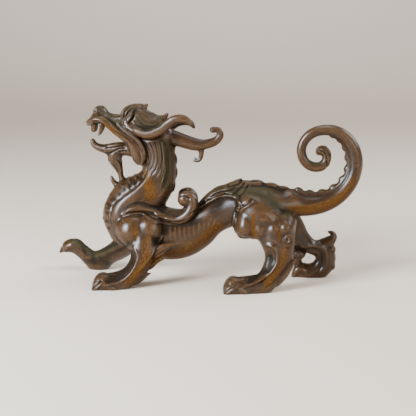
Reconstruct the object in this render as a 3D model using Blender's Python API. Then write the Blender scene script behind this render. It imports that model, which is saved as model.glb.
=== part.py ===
"""A walking dragon, cast in bronze in one piece: raised head, open mouth, band with a curl on each
shoulder, scale ridge along the back and a tail rolled into a spiral.

The figure is drawn on a grid with 235 steps from the raised paw's claws to the outer curve of the tail, so
one step is a millimetre at the real length. Head towards -X, left flank towards -Y, soles on Z = 0.
"""

import math

import bmesh
import bpy
import numpy as np
from mathutils import Matrix, Vector
from mathutils.bvhtree import BVHTree

LENGTH = 0.235  # claws of the raised paw to the outer curve of the tail
GRID = LENGTH / 235  # one step of the drawing grid

TRIANGLES = 9600  # facets kept on the finished figure
BODY_VOXEL = 1.1  # grid steps between points while the large masses are fused
CARVING_VOXEL = 0.75  # the same for the carved forms
BODY_SOFTENING = 9  # rounds of smoothing where limbs grow out of the body
CARVING_SOFTENING = 3

OUTSIDE = 200  # a distance from the middle that is clear of the figure
NEAR, FAR = -1, 1  # the dragon's left side, which the photograph shows, and its right side


def clear_scene():
    for obj in list(bpy.data.objects):
        bpy.data.objects.remove(obj)


def spline(stations, steps):
    """Stations joined by a smooth curve, with this many steps between each two."""
    rows = np.array(stations, float)
    ends = np.vstack([2 * rows[0] - rows[1], rows, 2 * rows[-1] - rows[-2]])
    made = []
    for i in range(len(rows) - 1):
        a, b, c, d = ends[i : i + 4]
        for t in np.arange(steps) / steps:
            made.append(
                0.5
                * (
                    2 * b
                    + (c - a) * t
                    + (2 * a - 5 * b + 4 * c - d) * t**2
                    + (3 * b - a - 3 * c + d) * t**3
                )
            )
    made.append(rows[-1])
    return np.array(made)


def frame_at(row, tangent):
    """Matrix that lays the unit circle across the path, its X on the width and its Y on the depth."""
    across = Vector((0, 1, 0))
    if abs(tangent.y) > 0.9:
        across = Vector((0, 0, 1))
    across = (across - tangent * across.dot(tangent)).normalized()
    depth = tangent.cross(across)
    turned = Matrix((across * row[3], depth * row[4], tangent)).transposed().to_4x4()
    return Matrix.Translation(Vector(row[:3])) @ turned


def keep(bm, shells):
    mesh = bpy.data.meshes.new("shell")
    bm.to_mesh(mesh)
    bm.free()
    shells.append(mesh)


def limb(shells, stations, sides=20, steps=5, caps=(0.9, 0.9)):
    """A closed round form along a path. A station is x, y, z, half width and half depth.

    caps gives how far each end bulges, as a share of its depth.
    """
    rows = spline(stations, steps)
    for at_end, cap in zip((False, True), caps):
        tip, inner = (rows[-1], rows[-2]) if at_end else (rows[0], rows[1])
        away = (tip - inner)[:3] / max(np.linalg.norm((tip - inner)[:3]), 1e-9)
        bulge = []
        for share in (0.5, 0.8, 0.97):
            row = tip.copy()
            row[:3] += away * cap * share * min(tip[3], tip[4])
            row[3:] *= math.sqrt(1 - share**2)
            bulge.append(row)
        rows = np.vstack([rows, bulge]) if at_end else np.vstack([bulge[::-1], rows])
    tangents = np.gradient(rows[:, :3], axis=0)
    frames = [frame_at(r, Vector(t).normalized()) for r, t in zip(rows, tangents)]
    bm = bmesh.new()
    ring = bmesh.ops.create_circle(bm, segments=sides, radius=1.0)["verts"]
    bmesh.ops.transform(bm, matrix=frames[0], verts=ring)
    edges = bm.edges[:]
    bmesh.ops.contextual_create(bm, geom=edges)
    for before, after in zip(frames, frames[1:]):
        grown = bmesh.ops.extrude_edge_only(bm, edges=edges)["geom"]
        ring = [g for g in grown if isinstance(g, bmesh.types.BMVert)]
        edges = [g for g in grown if isinstance(g, bmesh.types.BMEdge)]
        bmesh.ops.transform(bm, matrix=after @ before.inverted(), verts=ring)
    bmesh.ops.contextual_create(bm, geom=edges)
    bmesh.ops.recalc_face_normals(bm, faces=bm.faces[:])
    keep(bm, shells)


def lump(shells, centre, radii, lean=0.0, turn=0.0):
    """A rounded mass. lean turns it about Y and turn about Z, in degrees."""
    placed = (
        Matrix.Translation(centre)
        @ Matrix.Rotation(math.radians(turn), 4, "Z")
        @ Matrix.Rotation(math.radians(lean), 4, "Y")
        @ Matrix.Diagonal((*radii, 1.0))
    )
    bm = bmesh.new()
    bmesh.ops.create_icosphere(bm, subdivisions=3, radius=1.0, matrix=placed)
    keep(bm, shells)


def on_side(rows, side):
    """Stations drawn for the near side, moved to the given side."""
    return [(x, -side * y, z, *rest) for x, y, z, *rest in rows]


def fused(shells, voxel, softening):
    """The shells as one skin, its joints softened."""
    bm = bmesh.new()
    for mesh in shells:
        bm.from_mesh(mesh)
    joined = bpy.data.meshes.new("joined")
    bm.to_mesh(joined)
    bm.free()
    obj = bpy.data.objects.new("joined", joined)
    bpy.context.scene.collection.objects.link(obj)
    remesh = obj.modifiers.new("fuse", "REMESH")
    remesh.mode = "VOXEL"
    remesh.voxel_size = voxel
    smooth = obj.modifiers.new("soften", "SMOOTH")
    smooth.factor = 0.5
    smooth.iterations = int(round(softening))
    graph = bpy.context.evaluated_depsgraph_get()
    mesh = bpy.data.meshes.new_from_object(obj.evaluated_get(graph))
    bpy.data.objects.remove(obj)
    return mesh


def skin_tree(mesh):
    joined = bmesh.new()
    joined.from_mesh(mesh)
    tree = BVHTree.FromBMesh(joined)
    joined.free()
    return tree


def flank_y(tree, x, z, side):
    """Where the skin lies across the body at this place of the side view."""
    hit = tree.ray_cast(Vector((x, side * OUTSIDE, z)), Vector((0, -side, 0)))[0]
    if hit is None:
        hit = tree.find_nearest(Vector((x, side * 10, z)))[0]
    return hit.y


def ridge(shells, tree, points, side, sunk=0.35, steps=6):
    """A raised line on the flank. A point is x, z and the line's half width."""
    drawn = spline(points, steps)
    rows = []
    for x, z, half in drawn:
        y = flank_y(tree, x, z, side) - side * sunk * half
        rows.append((x, y, z, half, half))
    limb(shells, rows, sides=10, steps=1)


# Tail

TAIL_CENTRE = (86.5, 101.0)
TAIL_STATIONS = [  # degrees turned, distance from the centre, half depth with scales, height of the scales
    (-123, 40.9, 11.4, 3.0),
    (-90, 35.6, 9.1, 3.6),
    (-45, 29.0, 7.1, 3.2),
    (0, 23.4, 6.6, 2.4),
    (45, 19.9, 5.3, 1.2),
    (85, 17.1, 4.4, 0.6),
    (125, 15.6, 4.0, 0.3),
    (166, 14.3, 3.8, 0.2),
    (210, 12.6, 3.8, 0.1),
    (256, 10.3, 3.9, 0),
    (290, 8.2, 3.7, 0),
    (318, 6.1, 3.5, 0),
    (367, 4.3, 3.5, 0),
    (419, 3.7, 3.4, 0),
    (474, 2.6, 3.1, 0),
    (515, 1.4, 2.7, 0),
]
TAIL = spline(TAIL_STATIONS, 8)
SCALES_TO = 70.0  # degrees turned where the scales have faded


def tail_at(degrees):
    """Distance from the centre, half depth and scale height there."""
    return [float(np.interp(degrees, TAIL[:, 0], TAIL[:, column])) for column in (1, 2, 3)]


def tail_point(degrees, inwards=0.0):
    """A place on the tail's middle line, or that much nearer the spiral's centre."""
    reach = tail_at(degrees)[0] - inwards
    angle = math.radians(degrees)
    return TAIL_CENTRE[0] + reach * math.cos(angle), TAIL_CENTRE[1] + reach * math.sin(angle)


def tail(shells):
    rows = []
    for degrees, _, depth, high in TAIL:
        half = depth - high / 2
        x, z = tail_point(degrees, inwards=-high / 2)
        rows.append((x, 0, z, half, half))
    limb(shells, rows, sides=20, steps=1)


BACK_SCALES = ((40.6, 81.2), (51.0, 79.2), (59.4, 77.0), (67.6, 74.9))

BACK_SCALE_RADII = (6.0, 2.4, 2.8)


def scale_ridge(shells):
    """Low flame-like scales on a strip along the spine and round the inner side of the tail."""
    strip = [(x, 0, z - 4.6, 3.4, 2.4) for x, z in BACK_SCALES]
    for degrees in np.arange(TAIL_STATIONS[0][0] + 6.0, SCALES_TO, 12):
        reach, half, high = tail_at(degrees)
        x, z = tail_point(degrees, inwards=half - high)
        strip.append((x, 0, z, 0.55 * high + 1.3, 0.62 * high))
    limb(shells, strip, sides=14, steps=3)
    for x, z in BACK_SCALES:
        lump(shells, (x, 0, z - BACK_SCALE_RADII[2]), BACK_SCALE_RADII, lean=6)
    degrees = TAIL_STATIONS[0][0] + 5.0
    while degrees < SCALES_TO:
        reach, half, high = tail_at(degrees)
        x, z = tail_point(degrees, inwards=half - 0.9 * high)
        long = 0.7 * high + 1.8
        lump(shells, (x, 0, z), (long, 0.5 * high + 1.0, 0.95 * high), lean=-degrees - 90 + 10)
        degrees += math.degrees(1.95 * long / (reach - half))


# Body and neck

TORSO = [
    (-62, 0, 49, 12, 14),
    (-54, 0, 46, 16, 18),
    (-43, 0, 42.5, 18, 19.8),
    (-30, 0, 39.2, 17.5, 20.2),
    (-17, 0, 39.2, 16, 19.3),
    (-5, 0, 43.8, 14, 16.7),
    (6, 0, 51.5, 13, 13.5),
    (17, 0, 57, 12.5, 13),
    (28, 0, 61, 14, 15),
    (42, 0, 62.5, 16, 14.8),
    (56, 0, 62.2, 14.5, 12.6),
    (67, 0, 63.5, 11, 9.6),
]
NECK = [
    (-52, 0, 40, 14, 20),
    (-52, 0, 51, 15.5, 24),
    (-49, 0, 62, 14.5, 21.5),
    (-42, 0, 69.5, 13, 17.4),
    (-36, 0, 76, 12, 14.6),
    (-32.5, 0, 84, 11, 13.2),
    (-32.5, 0, 93, 10.5, 13),
    (-33.5, 0, 102, 10.5, 12.8),
    (-36, 0, 113, 10.5, 12),
]


def body(shells):
    limb(shells, TORSO, sides=28)
    limb(shells, NECK, sides=28)
    lump(shells, (45, 0, 63), (20, 15, 13.8))


# Head

SKULL = [
    (-29, 0, 112, 9, 9),
    (-36, 0, 117, 10.5, 11),
    (-45, 0, 121, 10.5, 11),
    (-53, 0, 121.5, 9.5, 8),
    (-61, 0, 121.5, 8.5, 6.4),
    (-68, 0, 123.3, 7.6, 5.6),
    (-75, 0, 125.5, 7, 5.4),
    (-80, 0, 124.8, 5, 4.2),
]
LOWER_JAW = [
    (-47, 0, 101, 7, 6),
    (-56, 0, 102.5, 6, 5.4),
    (-64, 0, 103.2, 5.2, 4.6),
    (-71, 0, 102.4, 4.4, 3.9),
    (-76, 0, 102.9, 3.6, 3.2),
    (-80.3, 0, 104.8, 2.8, 2.8),
    (-82.4, 0, 107.6, 2.2, 2.4),
    (-81.8, 0, 109.6, 1.7, 1.5),
]
BEARD = [
    (-65, 0, 101, 4.6, 6.5),
    (-65.8, 0, 95.5, 4.0, 5.6),
    (-63.8, 0, 90, 3.4, 4.2),
    (-61.8, 0, 85, 2.8, 2.6),
    (-60.9, 0, 79, 2.5, 2.1),
    (-60.5, 0, 74, 2.7, 2.5),
    (-59.5, 0, 68, 3.2, 3.4),
]
BEARD_HOOK = [
    (-60.5, 0, 74.6, 2.4, 2.8),
    (-64.8, 0, 75.6, 2.1, 2.3),
    (-67.4, 0, 78.2, 1.8, 1.9),
    (-68.6, 0, 81.4, 1.1, 1.1),
]
UPPER_LIP = [
    (-85, 0, 120.8, 2.0, 1.8),
    (-83.5, -4, 122.8, 2.2, 2.2),
    (-79, -7, 125.0, 2.4, 2.4),
    (-73, -8.2, 125.0, 2.6, 2.6),
    (-67.5, -8.8, 121.3, 2.6, 2.7),
    (-62.5, -9, 117, 2.6, 2.7),
    (-57, -9.3, 113, 2.6, 2.8),
    (-52, -9.6, 108.8, 2.8, 3.6),
    (-48.6, -9.8, 103.5, 2.9, 4.3),
    (-47, -9.6, 98, 2.8, 4.3),
    (-45.6, -9, 94, 2.2, 3.2),
]
CHEEK_FOLD = [
    (-61, -8, 121.5, 1.2, 1.3),
    (-54, -9.2, 116, 1.6, 1.6),
    (-47.5, -10, 111.5, 1.8, 1.8),
    (-43.4, -10, 105, 2.2, 2.2),
    (-42.2, -9.8, 98, 2.2, 2.2),
    (-44, -9.4, 92.6, 1.5, 1.5),
]
EAR = [
    (-55, -8.2, 121.6, 2.4, 2.6),
    (-47, -10.4, 117.2, 3.0, 3.3),
    (-38, -12, 115.2, 3.2, 3.8),
    (-30, -12.8, 118, 3.0, 3.9),
    (-24.5, -13.4, 122.3, 2.9, 3.5),
    (-19, -14, 126, 2.8, 3.4),
    (-13.5, -14.6, 127, 2.6, 3.2),
    (-9, -15, 125.5, 2.1, 2.5),
    (-6.6, -15.2, 122.4, 1.2, 1.3),
]
FAR_EAR_SHIFT = (-1.6, 0, -5.0)
HORN = [
    (-37, 0, 113, 6, 6),
    (-27, 0, 112.4, 5.6, 6.1),
    (-21, 0, 111.1, 5.1, 5.7),
    (-13, 0, 108.6, 4.5, 5.2),
    (-6, 0, 106.7, 3.9, 4.9),
    (0, 0, 106.5, 3.5, 4.0),
    (6, 0, 107.7, 3.2, 3.5),
    (10.6, 0, 110, 2.9, 3.1),
    (13, 0, 113.4, 2.6, 2.7),
    (12, 0, 117, 2.4, 2.4),
    (8.6, 0, 117.9, 2.2, 2.2),
]
HORN_SPUR = [
    (-1.2, 0, 104, 2.0, 2.7),
    (-0.8, 0, 99.4, 1.8, 1.9),
    (-1.8, 0, 95.8, 1.6, 1.6),
    (-4.0, 0, 94.3, 1.3, 1.3),
    (-6.6, 0, 94.5, 0.8, 0.8),
]
HORN_BARB = [(-4.6, 0, 94.4, 1.1, 1.1), (-5.7, 0, 96.8, 0.6, 0.6)]
CANINE = [(-74.4, -3.6, 120.5, 1.6, 1.7), (-75.4, -3.4, 116.4, 1.2, 1.3), (-77, -3.2, 112.6, 0.6, 0.6)]
FRONT_TOOTH = [(-80.6, -2.4, 121, 2.3, 2.5), (-80.9, -2.2, 116.4, 1.8, 2.1)]
SNOUT_EDGE = [
    (-72.5, -4.2, 126.4, 2.6, 2.6),
    (-68, -4.6, 124.9, 2.8, 2.7),
    (-63, -5, 125.2, 3.0, 2.8),
    (-56, -5.6, 125.4, 3.2, 3.2),
]
BROW_LOCK = [
    (-58.5, -7.6, 126, 1.2, 1.5),
    (-57, -7.0, 130.0, 1.8, 2.3),
    (-53.5, -5.2, 133.0, 1.8, 2.2),
    (-50, -3.6, 134.4, 1.7, 1.8),
]
BROW_SHIFTS = (0.0, 2.5, 4.8)  # how far behind the first each brow lock lies
UPPER_LID = [(-56, -9, 123, 1.1, 1.2), (-52.5, -9.6, 127.5, 1.6, 1.7), (-49, -8.6, 132.5, 1.2, 1.3)]
NAPE_TUFT = [
    (-34, -5.6, 121.6, 2.6, 2.2),
    (-30.4, -5.4, 124, 3.0, 2.6),
    (-28, -5, 126.6, 2.6, 1.9),
    (-26.8, -4.8, 128.0, 1.8, 1.3),
]
TOP_TUFT = [
    (-49, -3, 129.4, 2.4, 2.6),
    (-45.6, -3, 131.6, 2.4, 2.6),
    (-42.8, -2.8, 133.8, 1.8, 1.9),
    (-41, -2.6, 135.4, 0.9, 0.9),
]
CROWN = [
    (-53, -3.4, 127.4, 5.4, 7.2),
    (-47, -3.8, 127.0, 6.0, 7.0),
    (-41, -4.2, 123.8, 6.2, 6.4),
    (-35, -4.4, 122.4, 6.2, 5.4),
    (-30, -4.6, 123.4, 5.0, 4.4),
]


def head(shells):
    limb(shells, SKULL, sides=24)
    limb(shells, LOWER_JAW)
    limb(shells, BEARD)
    lump(shells, (-44, 0, 104), (8, 9.2, 11.5))
    lump(shells, (-75.8, 0, 130), (5.3, 6.2, 5.0))
    for side in (NEAR, FAR):
        limb(shells, on_side(SNOUT_EDGE, side), sides=14)
        limb(shells, on_side(CROWN, side), sides=20)

HORN_KNOT = (7.9, 0, 117.5)  # a lump on the curled end of the horn
HORN_KNOT_RADII = (2.7, 2.6, 2.4)
SNOUT_BRIDGE = (-64.5, 0, 125.6)
SNOUT_BRIDGE_RADII = (6.5, 5.2, 2.9)
EYE = (-53, 8.2, 124)
EYE_RADII = (2.6, 2.2, 2.4)
NOSTRIL = (-77, 5.2, 130.4)
NOSTRIL_RADII = (2.8, 1.8, 2.8)


def head_details(shells):
    limb(shells, HORN)
    lump(shells, HORN_KNOT, HORN_KNOT_RADII)
    limb(shells, HORN_SPUR, sides=12)
    limb(shells, HORN_BARB, sides=10, steps=2)
    limb(shells, BEARD_HOOK, sides=12)
    lump(shells, SNOUT_BRIDGE, SNOUT_BRIDGE_RADII)
    for side in (NEAR, FAR):
        limb(shells, on_side(UPPER_LIP, side), sides=14)
        limb(shells, on_side(CHEEK_FOLD, side), sides=10)
        shift = FAR_EAR_SHIFT if side == FAR else (0, 0, 0)
        ear = [(x + shift[0], y, z + shift[2], *rest) for x, y, z, *rest in EAR]
        limb(shells, on_side(ear, side), sides=16)
        head_tufts(shells, side)
        limb(shells, on_side(CANINE, side), sides=12)
        limb(shells, on_side(FRONT_TOOTH, side), sides=12)
        lump(shells, (EYE[0], side * EYE[1], EYE[2]), EYE_RADII)
        lump(shells, (NOSTRIL[0], side * NOSTRIL[1], NOSTRIL[2]), NOSTRIL_RADII)


def head_tufts(shells, side):
    """Brow, crown and nape tufts of one side, each a short tapering lock."""
    for shift in BROW_SHIFTS:
        brow = [(x + shift, y, z, *rest) for x, y, z, *rest in BROW_LOCK]
        limb(shells, on_side(brow, side), sides=10)
    limb(shells, on_side(UPPER_LID, side), sides=10)
    limb(shells, on_side(NAPE_TUFT, side), sides=12)
    limb(shells, on_side(TOP_TUFT, side), sides=12)


# Legs: the left pair stands, the right fore leg steps forward on its heel, the right hind leg trails

NEAR_FORE = [
    (-44, -13, 44, 10, 12),
    (-42, -17, 33, 9, 11),
    (-43, -20, 23, 8, 9.2),
    (-49.5, -22.5, 13.5, 7, 7.4),
    (-57.5, -24, 7.8, 6.8, 8.2),
    (-66, -25.5, 5.2, 6.8, 8.8),
    (-72.5, -26.5, 5.2, 7.2, 8.4),
]
NEAR_HIND = [
    (54, -13, 50, 11, 17),
    (57, -17, 38, 9.5, 12.5),
    (57.6, -19, 28, 8, 10.4),
    (53.5, -21, 18, 7.2, 8.2),
    (47.5, -22.5, 8.4, 6.9, 8.4),
    (38, -24, 6.0, 6.8, 8.8),
    (30, -25.5, 5.2, 7.0, 8.8),
    (25, -26.5, 5.6, 7.2, 8.6),
]
FAR_FORE = [
    (-48, 12, 42, 9, 11),
    (-58, 17, 30, 8.5, 10.5),
    (-68, 21.5, 20.5, 7.8, 8.6),
    (-78, 25.5, 13.8, 7.2, 7.6),
    (-86.5, 28, 8.0, 6.9, 9.4),
    (-93.5, 28.8, 11.0, 6.4, 6.6),
    (-100, 29, 16.5, 6.2, 5.8),
    (-106.5, 29, 20.4, 6.6, 5.8),
    (-111, 29, 19.8, 6.6, 5.2),
]
FAR_HIND = [
    (56, 13, 52, 10, 14),
    (66, 16.5, 41, 8.5, 11),
    (73, 19, 33, 7.4, 7.8),
    (81, 21, 26.4, 6.4, 5.9),
    (88, 22, 24.2, 6.2, 7.0),
    (92.2, 22.5, 19.4, 6.2, 7.9),
    (91.8, 22.8, 13, 6.2, 7.9),
    (87.2, 23, 7.4, 6.5, 7.8),
    (80, 23, 5.2, 6.5, 7.2),
    (73.6, 23.4, 5.6, 6.8, 7.8),
]
HOCK_SPUR = [
    (87.5, 22, 26.5, 4.4, 5.2),
    (94, 22, 29.6, 4.0, 4.8),
    (97.8, 22, 33.8, 3.0, 3.2),
    (97, 22, 37.0, 1.9, 2.0),
    (94.2, 22, 38.0, 0.9, 0.9),
]
THIGH_LOBES = (  # x and z of the lobe's foot, its half width, how far it reaches up and stands out
    (33.6, 47.0, 8.4, 17, 12.6),
    (44.4, 45.8, 7.8, 17, 12.9),
    (54, 45.6, 7.2, 13, 13.7),
    (62.4, 46.6, 7.2, 8, 13.9),
)


def legs(shells):
    for stations in (NEAR_FORE, NEAR_HIND, FAR_FORE, FAR_HIND):
        limb(shells, stations, sides=24)
    for side in (NEAR, FAR):
        lump(shells, (-50, side * 13, 43.5), (13.5, 11.5, 12.5))
        lump(shells, (-38, side * 13.2, 45.2), (11.5, 10.6, 11.5))
        lump(shells, (46, side * 10.5, 56), (23, 13.6, 14), lean=36)
        lump(shells, (40, side * 11, 51.5), (16.5, 12.4, 13))
        for x, z, half, rise, out in THIGH_LOBES:
            lobe = [
                (x + 1, side * (out - 3.2), z + rise, 6, half * 0.6),
                (x + 0.5, side * (out - 1.8), z + rise * 0.6, 9.8, half * 0.86),
                (x, side * (out - 0.4), z + rise * 0.2, 12, half),
                (x, side * out, z, 12, half),
            ]
            limb(shells, lobe, sides=24)


TOE_STATIONS = (  # share of the way from heel to toe, height and half width
    (0.35, 4.0, 2.6),
    (0.62, 9.6, 3.2),
    (0.86, 10.4, 3.4),
    (1.02, 6.4, 3.0),
    (1.08, 2.6, 2.3),
)


def paw(shells, heel, toe, low_side, lift=0.0, tilt=0.0):
    """Toes and claws over the front of a foot, the outermost toe on low_side the lowest."""
    start, tip = Vector(heel), Vector(toe)
    forward = (tip - start).normalized()
    up = Vector((0, 0, 1)) if not tilt else Vector((-math.sin(tilt), 0, math.cos(tilt)))
    across = up.cross(forward).normalized()
    if across.y * low_side < 0:
        across = -across
    for place, height in ((4.6, 0.62), (0.6, 1.0), (-3.8, 0.96)):
        rows = []
        for along, rise, half in TOE_STATIONS:
            spot = start + forward * along * (tip - start).length
            spot = spot + across * place + up * (rise * height + lift)
            rows.append((*spot, half, half))
        limb(shells, rows, sides=12, steps=3)


def leaf(shells, root, tip, bow, half, thick):
    """A pointed tuft that bows away from the straight line between root and tip."""
    root, tip = Vector(root), Vector(tip)
    straight = tip - root
    out = Vector((-straight.z, 0, straight.x)).normalized() * bow
    rows = []
    for along, swell in ((0, 0.55), (0.25, 1.0), (0.55, 0.85), (0.8, 0.5), (1.0, 0.16)):
        spot = root + straight * along + out * math.sin(math.pi * along)
        rows.append((*spot, max(thick * swell, 0.5), max(half * swell, 0.5)))
    limb(shells, rows, sides=12, steps=3)


def volute(shells, centre, reach, half, side, turns=1.6, start=200.0, way=1):
    """A small raised spiral on the side of a joint."""
    rows = []
    for share in np.linspace(0, 1, 26):
        angle = math.radians(start) + way * share * turns * 2 * math.pi
        out = reach * (1 - 0.86 * share)
        spot = (
            centre[0] + out * math.cos(angle),
            centre[1] + side * 1.4 * share,
            centre[2] + out * math.sin(angle),
        )
        rows.append((*spot, half, half * (1 - 0.25 * share)))
    limb(shells, rows, sides=10, steps=1)


LEG_TUFTS = (  # root, tip, bow, half width and thickness
    ((-108, 28, 18.4), (-117.6, 28, 14.4), -1.8, 3.6, 3.0),
    ((-111, 32, 18.6), (-116.4, 32, 15.4), -0.6, 2.2, 2.2),
    ((-36, -20, 22), (-18.5, -19.5, 35.5), 2.6, 4.6, 3.0),
    ((-40, -21, 16), (-26.5, -21, 24), 2.0, 3.6, 2.6),
    ((-50, -23.5, 5.5), (-36, -22, 13.5), 0.6, 3.2, 2.6),
    ((-42, 18, 24), (-26, 17, 34), 2.6, 4.4, 3.0),
    ((50, -22.4, 5.4), (70, -20.6, 27), -1.6, 4.2, 3.4),
)
HEEL_KNOBS = (24.5, 18, 11.5)  # height of each knob behind the far hind foot


def leg_details(shells):
    paw(shells, (-56, -24.5, 0), (-75.5, -26.5, 0), NEAR)
    paw(shells, (41, -24.2, 0), (21.5, -26.5, 0), NEAR)
    paw(shells, (86, 23, 0), (70, 23.6, 0.4), FAR, lift=-1.8)
    paw(shells, (-91, 29, 5.5), (-111, 29, 15.0), FAR, lift=-0.5, tilt=-0.35)
    limb(shells, HOCK_SPUR, sides=14)
    for tuft in LEG_TUFTS:
        leaf(shells, *tuft)
    for z in HEEL_KNOBS:
        lump(shells, (97.4, 22.4, z), (2.7, 3.4, 3.7), lean=-14)
    lump(shells, (70.6, 22.4, 14.4), (4.0, 4.6, 5.0))
    volute(shells, (64.8, -25.0, 42.2), 4.9, 1.3, NEAR)
    volute(shells, (71.6, 14.6, 21.6), 4.1, 1.4, NEAR)
    lump(shells, (72, 19, 22.0), (5.6, 4.4, 5.8))


# Shoulder bands, mane and breast

SHOULDER_BAND = [
    (-58, 55.4, 1.2),
    (-53, 58.8, 2.1),
    (-46, 60.4, 2.7),
    (-37, 58, 2.9),
    (-29, 54.2, 2.8),
    (-20, 52, 2.8),
]
BAND_CURL = [
    (-25, -11.8, 52.8, 2.4, 2.6),
    (-17, -12.2, 52.4, 2.8, 3.0),
    (-10, -12.2, 56.0, 3.4, 3.8),
    (-6.2, -11.4, 62.2, 3.9, 4.2),
    (-6.6, -10.8, 67.0, 4.2, 4.2),
    (-9.4, -10.4, 69.4, 4.4, 4.2),
    (-12.2, -10.4, 68.2, 4.6, 4.6),
]
FAR_CURL_SHIFT = 2.6  # how much further forward the far shoulder's curl stands
HIP_BAND = [
    (-3.5, 57.5, 1.4),
    (4, 63, 1.8),
    (12, 67.8, 2.0),
    (20, 70.6, 2.0),
    (26, 69.4, 1.8),
    (29.2, 65.4, 1.6),
    (28.4, 61.8, 1.4),
]
HIP_LINE = [(29.5, 59.5, 0.8), (32.4, 63.4, 0.9), (36, 66, 0.9), (39.2, 68.8, 1.0)]
THIGH_RIM = [
    (28.4, 62.4, 1.1),
    (25.8, 58.6, 1.1),
    (24.8, 53, 1.1),
    (24.7, 48, 1.1),
    (25.9, 43.9, 1.1),
    (28.6, 41.4, 1.0),
    (32.4, 40.4, 0.8),
    (36, 40.6, 0.6),
]
FORE_LEG_RIDGE = [
    (-46.4, -22.2, 28, 0.8, 0.9),
    (-47.6, -26, 19.5, 1.5, 1.7),
    (-53, -28.2, 12, 1.5, 1.7),
    (-60.5, -29.6, 8.2, 1.5, 1.7),
    (-68, -30.6, 7.6, 1.5, 1.7),
    (-72.6, -30.4, 9.6, 1.2, 1.4),
]
HIND_LEG_RIDGE = [
    (48, -18.5, 36.5, 0.8, 0.9),
    (52.6, -21.6, 32.5, 1.1, 1.2),
    (54, -23.9, 26.5, 1.3, 1.5),
    (51.4, -26.0, 19.4, 1.5, 1.7),
    (44.6, -28, 13.0, 1.6, 1.8),
    (36, -29.4, 8.6, 1.6, 1.6),
    (28.5, -30.6, 8.4, 1.6, 1.8),
]
NECK_LOCKS = (
    [(-43.2, 108.5, 0.9), (-40.2, 104.1, 1.3), (-38.2, 98.9, 1.5), (-39.2, 93.8, 1.2), (-42.6, 91, 0.7)],
    [(-39.2, 109.2, 0.9), (-36.8, 103.2, 1.2), (-35.8, 97.4, 1.3), (-37.2, 91.2, 1.2), (-41, 86.6, 0.7)],
    [(-35.6, 109.6, 0.9), (-33.8, 102.2, 1.3), (-33.4, 95.3, 1.5), (-35.4, 88.2, 1.2), (-38.6, 84.6, 0.6)],
    [(-32.2, 110, 0.9), (-30.5, 104.2, 1.2), (-30.2, 96.1, 1.4), (-32.2, 88.3, 1.2), (-35.6, 82, 0.7)],
    [(-29.6, 106, 0.7), (-28.2, 99.6, 1.0), (-28, 92, 1.2), (-29.6, 84, 1.0), (-32.2, 79, 0.6)],
)


def carved_lines(shells, tree):
    limb(shells, FORE_LEG_RIDGE, sides=12)
    limb(shells, HIND_LEG_RIDGE, sides=12)
    for side in (NEAR, FAR):
        ridge(shells, tree, SHOULDER_BAND, side)
        ridge(shells, tree, HIP_BAND, side, sunk=0.6)
        ridge(shells, tree, HIP_LINE, side, sunk=0.6)
        ridge(shells, tree, THIGH_RIM, side, sunk=0.5)
        for lock in NECK_LOCKS:
            ridge(shells, tree, lock, side, sunk=0.85)
        back = FAR_CURL_SHIFT if side == FAR else 0
        limb(shells, [(x - back, -side * y, z - back / 3, *rest) for x, y, z, *rest in BAND_CURL], sides=16)
        lump(shells, (-12.0 - back, side * 10.8, 67.4 - back / 3), (5.4, 4.8, 5.6))


LOIN_CREST = [
    (-4, 0, 55.5, 4.0, 4.0),
    (2, 0, 61.0, 6.0, 5.4),
    (9, 0, 66.8, 7.0, 6.2),
    (17, 0, 70.6, 7.0, 6.2),
    (25, 0, 74.4, 6.2, 5.8),
    (33, 0, 76.4, 5.0, 4.2),
    (42, 0, 77.0, 4.0, 3.4),
]
NECK_FINS = ((-25, 104), (-23.6, 95), (-23.4, 86), (-25, 77))
FLAME_TIPS = ((17.6, 76.2, 12, 1.0), (27.8, 80.2, 9, 1.6))


def back_mane(shells):
    """Crest along the back of the neck, and the flame on the loins."""
    for x, z in NECK_FINS:
        leaf(shells, (x - 3, 0, z + 4), (x + 2.8, 0, z - 6), 1.2, 5, 3.4)
    limb(shells, LOIN_CREST, sides=16)
    for x, z, long, rise in FLAME_TIPS:
        leaf(shells, (x - long, 0, z - 6.4), (x + 1.4, 0, z + rise), 0.8, 1.8, 3.6)


PLATES_FROM = 27.0  # along the throat from the crown
PLATE_PITCH = 6.2
PLATE_RISE = 0.3


def breast_plates(shells):
    """Overlapping plates down the throat and the breast."""
    front = spline([(*row[:3], row[3], row[4]) for row in NECK[::-1]], 12)
    steps = np.linalg.norm(np.diff(front[:, (0, 2)] + front[:, 4:5] * (-1, 0), axis=0), axis=1)
    along = np.concatenate([[0], steps.cumsum()])
    for place in np.arange(PLATES_FROM, along[-1] - 6, PLATE_PITCH):
        i = min(int(np.searchsorted(along, place)), len(front) - 2)
        run = Vector((front[i + 1] - front[i])[:3]).normalized()
        out = Vector((run.z, 0, -run.x))
        wide, deep = front[i][3:]
        spot = Vector(front[i][:3]) + out * deep * 0.45
        lean = math.degrees(math.atan2(out.x, out.z))
        lump(shells, spot, (PLATE_PITCH * 0.6, wide * 0.78, deep * 0.55 + PLATE_RISE), lean=lean)


def flat_soles(mesh):
    """Cuts everything under Z = 0 and closes the cut, so that the feet stand flat."""
    bm = bmesh.new()
    bm.from_mesh(mesh)
    geometry = bm.verts[:] + bm.edges[:] + bm.faces[:]
    bmesh.ops.bisect_plane(bm, geom=geometry, plane_co=(0, 0, 0), plane_no=(0, 0, 1), clear_inner=True)
    bmesh.ops.holes_fill(bm, edges=[e for e in bm.edges if e.is_boundary], sides=0)
    bmesh.ops.triangulate(bm, faces=[f for f in bm.faces if len(f.verts) > 4])
    bm.to_mesh(mesh)
    bm.free()


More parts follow.
